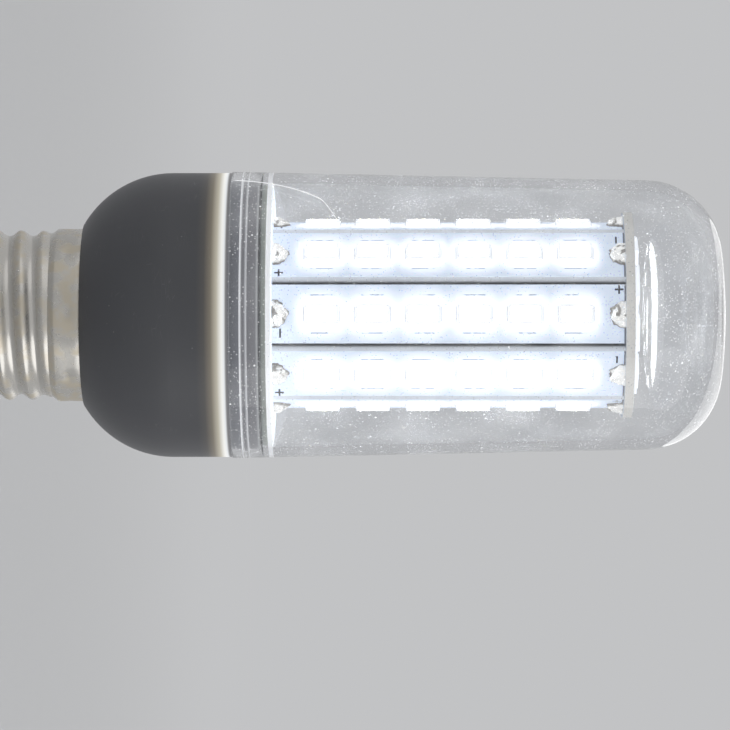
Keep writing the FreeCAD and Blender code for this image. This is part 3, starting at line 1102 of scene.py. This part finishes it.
def rounded(corners: Sequence[tuple[float, float, float]], steps: int) -> list[Point]:
    """Return a section whose corners are rounded.

    Args:
        corners: Radius, height and corner radius of each corner.
        steps: The number of segments of a corner.

    Returns:
        The points.
    """
    points: list[Point] = []
    for index, (radius, height, fillet) in enumerate(corners):
        here = Vector((radius, height))
        if fillet <= 0:
            points.append((here.x, here.y))
            continue
        before = (Vector(corners[index - 1][:2]) - here).normalized()
        after = (Vector(corners[index + 1][:2]) - here).normalized()
        half = before.angle(after) / 2
        reach = fillet / math.tan(half)
        centre = here + (before + after).normalized() * fillet / math.sin(half)
        start = here + before * reach - centre
        end = here + after * reach - centre
        turn = start.angle_signed(end)
        for step in range(steps + 1):
            spoke = start.copy()
            spoke.rotate(Matrix.Rotation(-turn * step / steps, 2))
            points.append((centre.x + spoke.x, centre.y + spoke.y))
    return points


@dataclass(frozen=True)
class Layout:
    """Places and sizes that the frame gives, in metres."""

    joint_z: float
    spigot_z: float
    crown_z: float
    cover_radius: float
    strip_z: float
    end_z: float
    end_face_z: float
    lower_radius: float
    end_radius: float
    apothem: float
    strip_width: float
    strip_thickness: float
    led_z: float

    @classmethod
    def read(cls) -> "Layout":
        """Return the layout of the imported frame.

        Returns:
            The layout.
        """
        cover_low, cover_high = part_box("clear_cover")
        strip_low, strip_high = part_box("led_strip_1")
        lower_low, lower_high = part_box("lower_board")
        end_low, end_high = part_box("end_board")
        led_low, led_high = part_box("strip_phosphor_1")
        return cls(
            joint_z=cover_low.z,
            spigot_z=lower_low.z,
            crown_z=cover_high.z,
            cover_radius=cover_high.x,
            strip_z=lower_high.z,
            end_z=end_low.z,
            end_face_z=end_high.z,
            lower_radius=lower_high.x,
            end_radius=end_high.x,
            apothem=-strip_low.y,
            strip_width=strip_high.x - strip_low.x,
            strip_thickness=strip_high.y - strip_low.y,
            led_z=(led_low.z + led_high.z) / 2,
        )


@dataclass(frozen=True)
class ClearCover:
    """The clear cover: straight drafted side, round corner and shallow crown."""

    layout: Layout
    draft: float = 1.2
    wall: float = 1.6 * MM
    corner: float = 11.7 * MM
    crown: float = 80.0 * MM
    skirt_bore: float = 21.0 * MM
    skirt_height: float = 4.75 * MM
    groove_radius: float = 21.27 * MM
    groove_low: float = 1.73 * MM
    groove_high: float = 2.72 * MM
    edge: float = 0.12 * MM
    support: float = 0.35 * MM
    rings: int = 12
    corner_steps: int = 24
    crown_steps: int = 10
    steps: int = 192

    def corner_centre(self) -> Vector:
        """Return the middle of the round corner in the section.

        Returns:
            Its radius and height.
        """
        lean = math.radians(self.draft)
        along = Vector((-math.sin(lean), math.cos(lean)))
        inward = Vector((-math.cos(lean), -math.sin(lean)))
        start = Vector((self.layout.cover_radius, self.layout.joint_z)) + inward * self.corner
        offset = start - Vector((0.0, self.layout.crown_z - self.crown))
        reach = self.crown - self.corner
        half = offset.dot(along)
        return start + along * (math.sqrt(half * half - offset.length_squared + reach * reach) - half)

    def dome(self, inset: float) -> list[Point]:
        """Return the section of the corner and crown, from the side to the axis.

        Args:
            inset: The distance inside the outer surface.

        Returns:
            The points.
        """
        centre = self.corner_centre()
        top = Vector((0.0, self.layout.crown_z - self.crown))
        low = math.radians(self.draft)
        high = math.atan2(centre.y - top.y, centre.x)
        points: list[Point] = []
        arcs = ((centre, self.corner, low, high, self.corner_steps),
                (top, self.crown, high, math.pi / 2, self.crown_steps))
        for middle, radius, start, end, steps in arcs:
            for step in range(1 if points else 0, steps + 1):
                angle = start + (end - start) * step / steps
                across = middle.x + (radius - inset) * math.cos(angle)
                points.append((max(across, 0.0), middle.y + (radius - inset) * math.sin(angle)))
        return points

    def between(self, start: Point, end: Point) -> list[Point]:
        """Return points on a straight side, close to both ends, that keep its surface flat.

        Args:
            start: Where the side starts.
            end: Where the side ends.

        Returns:
            The points between them.
        """
        first, last = Vector(start), Vector(end)
        near = self.support / (last - first).length
        shares = [near, *(step / self.rings for step in range(1, self.rings)), 1.0 - near]
        return [tuple(first.lerp(last, share)) for share in shares]

    def section(self) -> list[Point]:
        """Return the whole section, from the axis out, down the side and back inside.

        Returns:
            The points.
        """
        rim_z = self.layout.joint_z
        step_z = rim_z + self.skirt_height
        radius = self.layout.cover_radius
        lean = math.radians(self.draft)
        inner = radius - math.tan(lean) * self.skirt_height - self.wall / math.cos(lean)
        outside = self.dome(0.0)
        inside = self.dome(self.wall)
        outer_side = self.between(outside[0], (radius, rim_z))
        inner_side = self.between(inside[0], (inner, step_z))
        foot = rounded((
            (*outer_side[-1], 0.0),
            (radius, rim_z, self.edge),
            (self.skirt_bore, rim_z, self.edge),
            (self.skirt_bore, rim_z + self.groove_low, 0.0),
            (self.groove_radius, rim_z + self.groove_low, 0.0),
            (self.groove_radius, rim_z + self.groove_high, 0.0),
            (self.skirt_bore, rim_z + self.groove_high, 0.0),
            (self.skirt_bore, step_z, self.edge),
            (inner, step_z, self.edge),
            (*inner_side[-1], 0.0),
        ), 4)
        return [*reversed(outside), *outer_side[:-1], *foot, *reversed(inner_side[:-1]), *inside]

    def build(self) -> None:
        """Model the cover."""
        piece = lathe("cover", self.section(), self.steps)
        rim_z = self.layout.joint_z
        groove = (rim_z + self.groove_low, rim_z + self.groove_high)
        seat = (self.layout.spigot_z, self.layout.strip_z)
        paint(piece, [ClearPlastic(rim_z, self.layout.cover_radius, seat, groove)])
        hand_over(piece, "clear_plastic", "clear_cover")


@dataclass(frozen=True)
class ScrewCap:
    """The threaded shell, its insulator and the centre contact."""

    wall: float = 0.4 * MM
    opening: float = 9.4 * MM
    lip_radius: float = 10.4 * MM
    lip_z: float = 4.4 * MM
    root_radius: float = 12.25 * MM
    crest_radius: float = 13.15 * MM
    root_z: float = 6.6 * MM
    run_z: float = 20.6 * MM
    collar_radius: float = 13.35 * MM
    collar_z: float = 21.5 * MM
    cap_z: float = 25.5 * MM
    pitch: float = 3.629 * MM
    rings: int = 20
    lip_fillet: float = 0.9 * MM
    fold_fillet: float = 0.5 * MM
    edge: float = 0.1 * MM
    dents: int = 8
    dent_depth: float = 0.22 * MM
    dent_size: float = 1.1 * MM
    dent_core: float = 0.45 * MM
    contact_radius: float = 4.8 * MM
    contact_height: float = 1.2 * MM
    contact_edge: float = 0.5 * MM
    stem_radius: float = 1.5 * MM
    stem_z: float = 6.6 * MM
    stem_edge: float = 0.2 * MM
    steps: int = 96
    contact_steps: int = 72

    def section(self) -> list[Point]:
        """Return the closed section of the shell before its thread is swung.

        Returns:
            The points.
        """
        mean = (self.root_radius + self.crest_radius) / 2
        count = max(2, round((self.run_z - self.root_z) / self.pitch * self.rings))
        heights = [self.root_z + (self.run_z - self.root_z) * step / count for step in range(count + 1)]
        outer = [(mean, height) for height in heights]
        inner = [(mean - self.wall, height) for height in reversed(heights)]
        foot = rounded((
            (self.opening, self.lip_z, 0.0),
            (self.lip_radius, self.lip_z, self.lip_fillet),
            (*outer[0], 0.0),
        ), 6)
        bore = self.collar_radius - self.wall
        middle = (self.collar_z + self.cap_z) / 2
        levels = [middle + step * self.dent_size / 2 for step in (-2, -1, 0, 1, 2)]
        top = rounded((
            (*outer[-1], 0.0),
            (self.collar_radius, self.collar_z, self.fold_fillet),
            *((self.collar_radius, level, 0.0) for level in levels),
            (self.collar_radius, self.cap_z, self.edge),
            (bore, self.cap_z, self.edge),
            *((bore, level, 0.0) for level in reversed(levels)),
            (bore, self.collar_z, self.fold_fillet),
            (*inner[0], 0.0),
        ), 4)
        back = rounded((
            (*inner[-1], 0.0),
            (self.lip_radius - self.wall, self.lip_z + self.wall, self.fold_fillet),
            (self.opening, self.lip_z + self.wall, 0.0),
        ), 6)
        return [*foot, *outer[1:-1], *top, *inner[1:-1], *back, foot[0]]

    def swing(self, piece: Piece) -> None:
        """Swing each ring of the thread round the axis once per pitch.

        Args:
            piece: The turned shell.
        """
        reach = (self.crest_radius - self.root_radius) / 2
        heights = sorted({round(vert.co.z, 7) for vert in piece.data.vertices})
        with editing(piece):
            for height in heights:
                if not self.root_z < height < self.run_z:
                    continue
                pick(piece, Element.VERT, lambda spot, _, at=height: abs(spot.z - at) < MERGE / 2)
                run_in = (height - self.root_z) / self.pitch
                run_out = (self.run_z - height) / self.pitch
                swung = reach * min(1.0, run_in * 2, run_out * 2)
                turn = math.tau * run_in
                move = (swung * math.cos(turn), swung * math.sin(turn), 0.0)
                bpy.ops.transform.translate(value=move)

    def stake(self, piece: Piece) -> None:
        """Press the staking dents into the collar.

        Args:
            piece: The shell.
        """
        middle = (self.collar_z + self.cap_z) / 2
        with editing(piece):
            for index in range(self.dents):
                angle = math.tau * index / self.dents
                outward = Vector((math.cos(angle), math.sin(angle), 0.0))
                spot = outward * self.collar_radius + Vector((0.0, 0.0, middle))
                pick(piece, Element.VERT, lambda at, _, near=spot: (at - near).length < self.dent_core)
                bpy.ops.transform.translate(
                    value=-outward * self.dent_depth, use_proportional_edit=True,
                    proportional_edit_falloff="SMOOTH", proportional_size=self.dent_size)

    def build_shell(self) -> None:
        """Model the threaded shell."""
        piece = lathe("threaded_shell", self.section(), self.steps)
        self.swing(piece)
        self.stake(piece)
        tidy(piece, 50.0)
        paint(piece, [NickelSheet(self.root_radius, self.crest_radius)])
        hand_over(piece, "nickel_plate", "screw_shell")

    def build_insulator(self) -> None:
        """Give the insulator its finish."""
        dress("cap_insulator", Moulded("cap_glaze", INK, 0.22))

    def build_contact(self) -> None:
        """Model the domed centre contact."""
        section = rounded((
            (0.0, 0.0, 0.0),
            (self.contact_radius, 0.0, self.contact_edge),
            (self.contact_radius, self.contact_height, self.edge),
            (self.stem_radius, self.contact_height, 0.0),
            (self.stem_radius, self.stem_z, self.stem_edge),
            (0.0, self.stem_z, 0.0),
        ), 6)
        piece = lathe("contact", section, self.contact_steps)
        paint(piece, [TinMetal("contact_tin", stained=0.15, grain=1.6 * MM)])
        hand_over(piece, "nickel_plate", "centre_contact")

    def build(self) -> None:
        """Model the whole cap."""
        self.build_shell()
        self.build_insulator()
        self.build_contact()


@dataclass(frozen=True)
class Package:
    """One LED package: moulded body, recessed window, leads and phosphor."""

    length: float = 5.7 * MM
    width: float = 3.0 * MM
    height: float = 0.85 * MM
    rim: float = 0.4 * MM
    window: float = 0.35 * MM
    taper: float = 0.93
    lead_reach: float = 0.25 * MM
    lead_width: float = 2.4 * MM
    lead_height: float = 0.3 * MM
    lead_sink: float = 0.15 * MM
    lead_edge: float = 0.08 * MM
    fill: float = 0.3 * MM
    dome_steps: tuple[float, float] = (0.03 * MM, 0.01 * MM)
    dome_inset: float = 0.35 * MM
    edge: float = 0.09 * MM

    def body_length(self) -> float:
        """Return the length of the moulded body."""
        return self.length - 2 * self.lead_reach

    def body(self) -> Piece:
        """Return the body and leads, on the origin and facing +Z, with their length along X.

        Returns:
            The package.
        """
        half = Vector((self.body_length() / 2, self.width / 2, 0.0))
        shell = block("package_body", -half, half + Vector((0.0, 0.0, self.height)))
        with editing(shell):
            pick(shell, Element.FACE, lambda at, _: at.z > self.height - NEAR)
            bpy.ops.mesh.inset(thickness=self.rim)
            extrude((0.0, 0.0, -self.window))
            bpy.ops.transform.resize(value=(self.taper, self.taper, 1.0))
        bevel(shell, self.edge, 2, lambda at, _: at.z > NEAR and (
            abs(at.x) > half.x - NEAR or abs(at.y) > half.y - NEAR))
        # The leads get a faint painted glow next to the lit phosphor.
        finishes = [LedBody(), TinMetal("lead_tin", stained=0.2, grain=0.6 * MM, glow=FAINT)]
        paint(shell, finishes)
        leads = []
        for side in (-1, 1):
            inner = side * (half.x - self.lead_sink)
            tip = side * self.length / 2
            low = Vector((min(inner, tip), -self.lead_width / 2, 0.0))
            high = Vector((max(inner, tip), self.lead_width / 2, self.lead_height))
            lead = block("package_lead", low, high)
            bevel(lead, self.lead_edge, 2, lambda at, _, end=tip: (
                abs(at.x - end) < NEAR or at.z > self.lead_height - 2 * NEAR))
            paint(lead, finishes, lambda _: 1)
            leads.append(lead)
        return tidy(join("package", [shell, *leads]))

    def phosphor(self) -> Piece:
        """Return the filled window, slightly domed, in the body's place.

        Returns:
            The filling.
        """
        half = Vector((self.body_length() / 2 - self.rim, self.width / 2 - self.rim, 0.0)) * self.taper
        floor = self.height - self.window
        top = floor + self.fill
        filling = block("phosphor_fill", Vector((-half.x, -half.y, floor)), Vector((half.x, half.y, top)))
        with editing(filling):
            pick(filling, Element.FACE, lambda at, _: at.z > top - NEAR)
            for rise in self.dome_steps:
                bpy.ops.mesh.inset(thickness=self.dome_inset)
                bpy.ops.transform.translate(value=(0.0, 0.0, rise))
        paint(filling, [Phosphor()])
        return tidy(filling, 60.0)


@dataclass(frozen=True)
class LedColumn:
    """The strips, their LEDs, the end board's LEDs, the solder joints and the marks."""

    layout: Layout
    package: Package
    strips: int = 9
    per_strip: int = 6
    pitch: float = 7.73 * MM
    first_angle: float = -90.0
    outer_ring: int = 9
    outer_radius: float = 10.5 * MM
    inner_ring: int = 5
    inner_radius: float = 5.6 * MM
    ring_angle: float = -115.0
    strip_edge: float = 0.12 * MM
    mask: float = 0.1 * MM
    mark_size: float = 1.35 * MM
    mark_stroke: float = 0.28 * MM
    mark_depth: float = 0.02 * MM
    mark_edge: float = 0.05 * MM
    plus_side: float = 3.65 * MM
    minus_side: float = 2.85 * MM
    plus_rise: float = 1.05 * MM
    minus_rise: float = 1.3 * MM
    joint_radius: float = 2.3 * MM
    joint_sink: float = 0.95 * MM
    joint_foot: float = 0.1 * MM
    joint_stretch: float = 1.25
    lump_size: float = 0.95 * MM
    lump_depth: float = 1.0 * MM
    lump_level: float = 0.52

    def facing(self, index: int) -> Matrix:
        """Return the turn that brings a model facing +X to a strip."""
        return Matrix.Rotation(math.radians(self.first_angle + 360.0 / self.strips * index), 4, "Z")

    def mask_finish(self) -> StripMask:
        """Return the finish of the strips' faces."""
        return StripMask(self.layout.strip_z, self.layout.end_z, self.layout.led_z, self.pitch,
                         self.layout.apothem, self.per_strip, self.strips)

    def build_strips(self) -> None:
        """Model one strip and copy it round the column."""
        back = self.layout.apothem - self.layout.strip_thickness
        half = self.layout.strip_width / 2
        low = Vector((back, -half, self.layout.strip_z))
        high = Vector((self.layout.apothem, half, self.layout.end_z))
        model = block("strip_model", low, high)
        bevel(model, self.strip_edge, 2, lambda _, way: abs(way.z) > 0.9)
        front = self.layout.apothem - self.mask
        with editing(model):
            slice_at((front, 0.0, 0.0), (1.0, 0.0, 0.0), False)
        tidy(model)
        # Painted light on the sawn edges grows from the back corner's radius part way to the front.
        shade = math.hypot(back, half)
        edges = BareAluminium(shade, shade + 0.45 * (math.hypot(front, half) - shade))
        paint(model, [self.mask_finish(), edges], lambda face: 0 if face.center.x > front else 1)
        for index in range(self.strips):
            strip = copy(model, f"strip_{index + 1}", self.facing(index))
            hand_over(strip, "white_board", f"led_strip_{index + 1}")
        drop(model)

    def row_places(self) -> list[Matrix]:
        """Return the places of the LEDs on a strip that faces +X.

        Returns:
            A matrix for each LED.
        """
        middle = self.layout.led_z
        lean = Matrix.Rotation(math.pi / 2, 4, "Y")
        start = -(self.per_strip - 1) / 2
        return [
            Matrix.Translation((self.layout.apothem, 0.0, middle + (start + step) * self.pitch)) @ lean
            for step in range(self.per_strip)
        ]

    def ring_places(self) -> list[Matrix]:
        """Return the places of the LEDs on the end board.

        Returns:
            A matrix for each LED.
        """
        places = [Matrix.Translation((0.0, 0.0, self.layout.end_face_z))]
        for count, radius in ((self.outer_ring, self.outer_radius), (self.inner_ring, self.inner_radius)):
            for step in range(count):
                turn = Matrix.Rotation(math.radians(self.ring_angle + 360.0 / count * step), 4, "Z")
                across = Matrix.Rotation(math.pi / 2, 4, "Z")
                places.append(turn @ Matrix.Translation((radius, 0.0, self.layout.end_face_z)) @ across)
        return places

    def build_leds(self) -> None:
        """Model one package and its phosphor and copy them to every place."""
        parts = (
            (self.package.body(), "leds", "strip_leds", "end_leds", "led_body"),
            (self.package.phosphor(), "phosphor", "strip_phosphor", "end_phosphor", "phosphor"),
        )
        for model, name, row_node, ring_node, slot in parts:
            row = [copy(model, f"{name}_item", place) for place in self.row_places()]
            row_model = join(f"{name}_row", row)
            for index in range(self.strips):
                strip = copy(row_model, f"{name}_{index + 1}", self.facing(index))
                hand_over(strip, slot, f"{row_node}_{index + 1}")
            ring = [copy(model, f"{name}_item", place) for place in self.ring_places()]
            hand_over(join(f"{name}_end", ring), slot, ring_node)
            drop(row_model)
            drop(model)

    def build_boards(self) -> None:
        """Give the boards their finish."""
        column = self.layout.apothem - self.layout.strip_thickness / 2
        # Painted light on both boards: the lower board on its rim and its ring outside the column, the
        # end board faintly on its rim and its top face.
        lower = BoardDisc(self.layout.lower_radius, column, self.layout.end_z, "lower_board_face")
        end = BoardDisc(
            self.layout.end_radius, column, self.layout.end_face_z - 5 * NEAR, "end_board_face",
            rim=(0.6, 0.59, 0.56), painted_rim_light=(0.22, 0.215, 0.2),
            painted_face_light=(0.03, 0.035, 0.045), face=(0.50, 0.54, 0.60))
        dress("lower_board", lower)
        dress("end_board", end)

    def joint_model(self, name: str, foot_z: float, upward: float) -> Piece:
        """Model one lumpy solder joint in the corner of a strip that faces +X and a board.

        Args:
            name: The object's name.
            foot_z: The height of the board's face.
            upward: 1 where the joint stands on the board, -1 where it hangs from it.

        Returns:
            The joint.
        """
        middle = Vector((self.layout.apothem - self.joint_sink, 0.0, foot_z - upward * self.joint_foot))
        take(None)
        bpy.ops.mesh.primitive_ico_sphere_add(subdivisions=5, radius=self.joint_radius, location=middle)
        piece = settle(name)
        lumps = bpy.data.textures.new("lumps", "CLOUDS")
        lumps.noise_scale = self.lump_size
        push = piece.modifiers.new("lumps", "DISPLACE")
        push.texture = lumps
        push.texture_coords = "LOCAL"
        push.strength = self.lump_depth
        push.mid_level = self.lump_level
        take(piece)
        bpy.ops.object.modifier_apply(modifier="lumps")
        with editing(piece):
            bpy.ops.mesh.select_all(action="SELECT")
            bpy.ops.transform.resize(value=(1.0, 1.0, self.joint_stretch), center_override=middle)
            slice_at((self.layout.apothem, 0.0, 0.0), (-1.0, 0.0, 0.0), True)
            slice_at((0.0, 0.0, foot_z), (0.0, 0.0, -upward), True)
        return tidy(piece, 50.0)

    def build_joints(self) -> None:
        """Model the two solder joints and copy them round the column."""
        ends = (("lower_joint", self.layout.strip_z, 1.0, "lower_solder_joints"),
                ("upper_joint", self.layout.end_z, -1.0, "upper_solder_joints"))
        for name, foot_z, upward, node in ends:
            model = self.joint_model(name, foot_z, upward)
            paint(model, [SoftSolder(self.layout.apothem, self.strips)])
            turns = [self.facing(index) for index in range(self.strips)]
            copies = [copy(model, f"{name}_{index}", turn) for index, turn in enumerate(turns)]
            hand_over(join(f"{name}s", copies), "solder", node)
            drop(model)

    def mark_model(self, mark: Mark) -> Piece:
        """Model a printed mark on a strip that faces +X, at the axis height 0.

        Args:
            mark: Which mark.

        Returns:
            The mark, as a thin plate on the strip's face.
        """
        face = self.layout.apothem
        long = self.mark_size / 2
        thin = self.mark_stroke / 2
        high = Vector((face + self.mark_depth, thin, thin))
        plate = block(f"mark_{mark.value}", Vector((face, -thin, -thin)), high)
        ways = ((0.0, 1.0, 0.0), (0.0, -1.0, 0.0))
        if mark is Mark.PLUS:
            ways += ((0.0, 0.0, 1.0), (0.0, 0.0, -1.0))
        with editing(plate):
            for way in ways:
                aim = Vector(way)
                pick(plate, Element.FACE, lambda at, normal, to=aim: normal.dot(to) > 0.99 and (
                    (at - to * at.dot(to)).yz.length < thin * 0.5))
                extrude(aim * (long - thin))
        bevel(plate, self.mark_edge, 2, lambda at, way: (
            abs(way.x) > 0.9 and max(abs(at.y), abs(at.z)) > long * 0.9))
        paint(plate, [Moulded("mark_ink", INK, 0.6, 0.1 * MM, 0.004 * MM, 1.6)])
        return tidy(plate)

    def build_marks(self) -> None:
        """Print the plus and minus marks at the ends of the strips."""
        models = {mark: self.mark_model(mark) for mark in Mark}
        copies = []
        for index in range(self.strips):
            steps_off = min(index, self.strips - index)
            order = (Mark.PLUS, Mark.MINUS) if steps_off % 2 == 0 else (Mark.MINUS, Mark.PLUS)
            for mark, end, way in zip(order, (self.layout.end_z, self.layout.strip_z), (-1, 1)):
                side = self.plus_side if mark is Mark.PLUS else self.minus_side
                rise = self.plus_rise if mark is Mark.PLUS else self.minus_rise
                place = self.facing(index) @ Matrix.Translation((0.0, way * side, end + way * rise))
                copies.append(copy(models[mark], f"mark_{index}_{mark.value}", place))
        hand_over(join("polarity_marks", copies), "white_board")
        for model in models.values():
            drop(model)

    def build(self) -> None:
        """Model the whole column."""
        self.build_strips()
        self.build_leds()
        self.build_boards()
        self.build_joints()
        self.build_marks()


@dataclass(frozen=True)
class BaseAndDriver:
    """The moulded base and the driver inside it, which keep their CAD shapes."""

    layout: Layout

    def build(self) -> None:
        """Give the kept nodes their finishes."""
        black = Moulded("sleeve_black", (0.022, 0.022, 0.025), 0.3)
        white = Moulded("wire_white", (0.72, 0.72, 0.69), 0.5)
        finishes: dict[str, Finish] = {
            "base_housing": BasePlastic(self.layout.joint_z),
            "driver_board": Moulded("driver_mask", (0.05, 0.19, 0.08), 0.35, 0.3 * MM),
            "film_capacitor": Moulded("capacitor_dip", (0.36, 0.07, 0.04), 0.25),
            "filter_capacitor": black,
            "bridge_rectifier": black,
            "discharge_resistor": black,
            "inrush_resistor": Moulded("resistor_lacquer", (0.54, 0.44, 0.27), 0.35),
            "live_wire": white,
            "neutral_wire": white,
            "positive_lead": Moulded("lead_red", (0.5, 0.03, 0.025), 0.45),
            "negative_lead": Moulded("lead_black", (0.025, 0.025, 0.025), 0.45),
        }
        for node, finish in finishes.items():
            dress(node, finish)


@dataclass(frozen=True)
class Softbox:
    """A soft area light that looks at the bulb."""

    name: str
    place: tuple[float, float, float]
    size: float
    power: float
    aim: Vector

    def build(self) -> None:
        """Add the light."""
        lamp = bpy.data.lights.new(self.name, "AREA")
        lamp.shape = "DISK"
        lamp.size = self.size
        lamp.energy = self.power
        stand = bpy.data.objects.new(self.name, lamp)
        stand.location = self.place
        stand.visible_camera = False
        stand.visible_transmission = False
        stand.rotation_euler = (self.aim - Vector(self.place)).to_track_quat("-Z", "Y").to_euler()
        bpy.context.scene.collection.objects.link(stand)


@dataclass(frozen=True)
class Studio:
    """Floor, light and camera."""

    layout: Layout
    tone: Colour = (0.54, 0.545, 0.555)
    sky: float = 0.62
    distance: float = 0.7
    reach: float = 20.48 * MM
    side: float = 7.75 * MM
    yaw: float = 0.5
    lens: float = 222.7
    sensor: float = 36.0
    floor_radius: float = 12.0
    floor_inset: float = 10.0
    floor_drop: float = 0.1 * MM

    def build_floor(self) -> None:
        """Lay the pale floor."""
        take(None)
        bpy.ops.mesh.primitive_circle_add(vertices=96, radius=self.floor_radius, fill_type="NGON",
                                          location=(0.0, 0.0, -self.floor_drop))
        floor = settle("floor")
        with editing(floor):
            bpy.ops.mesh.select_all(action="SELECT")
            bpy.ops.mesh.inset(thickness=self.floor_inset)
        paint(floor, [StudioFloor(self.tone)])

    def build_sky(self) -> None:
        """Light the scene softly from all round, over a plain pale background."""
        world = bpy.data.worlds.new("studio")
        world.use_nodes = True
        graph = Graph(world.node_tree)
        seen = graph.ray("Is Camera Ray") + graph.ray("Is Glossy Ray") + graph.ray("Is Transmission Ray")
        light = graph.node("ShaderNodeBackground", None, {"Color": WHITE, "Strength": self.sky})
        plain = graph.node("ShaderNodeBackground", None, {"Color": self.tone, "Strength": 1.0})
        graph.node("ShaderNodeOutputWorld", None, {"Surface": graph.either(seen, light, plain)})
        bpy.context.scene.world = world

    def build_lights(self) -> None:
        """Hang the softboxes."""
        aim = Vector((0.0, 0.0, self.layout.joint_z + self.reach))
        Softbox("key", (1.3, -0.7, 0.7), size=1.8, power=7.6, aim=aim).build()
        Softbox("fill", (-1.4, -0.7, 0.7), size=1.6, power=1.4, aim=aim).build()
        Softbox("back", (0.3, 1.5, 1.0), size=1.6, power=6.5, aim=aim).build()

    def build_camera(self) -> None:
        """Place the camera as in the photograph, with the bulb's axis across the picture."""
        camera = bpy.data.cameras.new("camera")
        camera.lens = self.lens
        camera.sensor_width = self.sensor
        stand = bpy.data.objects.new("camera", camera)
        lean, level = math.sin(math.radians(self.yaw)), math.cos(math.radians(self.yaw))
        right = Vector((0.0, lean, level))
        upward = Vector((-1.0, 0.0, 0.0))
        back = Vector((0.0, -level, lean))
        aim = Vector((self.side, 0.0, self.layout.joint_z + self.reach))
        turn = Matrix((right, upward, back)).transposed().to_4x4()
        stand.matrix_world = Matrix.Translation(aim + back * self.distance) @ turn
        bpy.context.scene.collection.objects.link(stand)
        bpy.context.scene.camera = stand

    def build(self) -> None:
        """Set up the studio."""
        bpy.context.scene.view_settings.view_transform = "Standard"
        self.build_floor()
        self.build_sky()
        self.build_lights()
        self.build_camera()


def main() -> None:
    """Build the bulb and its studio."""
    logging.basicConfig(level=logging.INFO)
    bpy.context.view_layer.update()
    layout = Layout.read()
    ClearCover(layout).build()
    ScrewCap().build()
    LedColumn(layout, Package()).build()
    BaseAndDriver(layout).build()
    Studio(layout).build()
    LOG.info("bulb built")


if __name__ == "__main__":
    main()
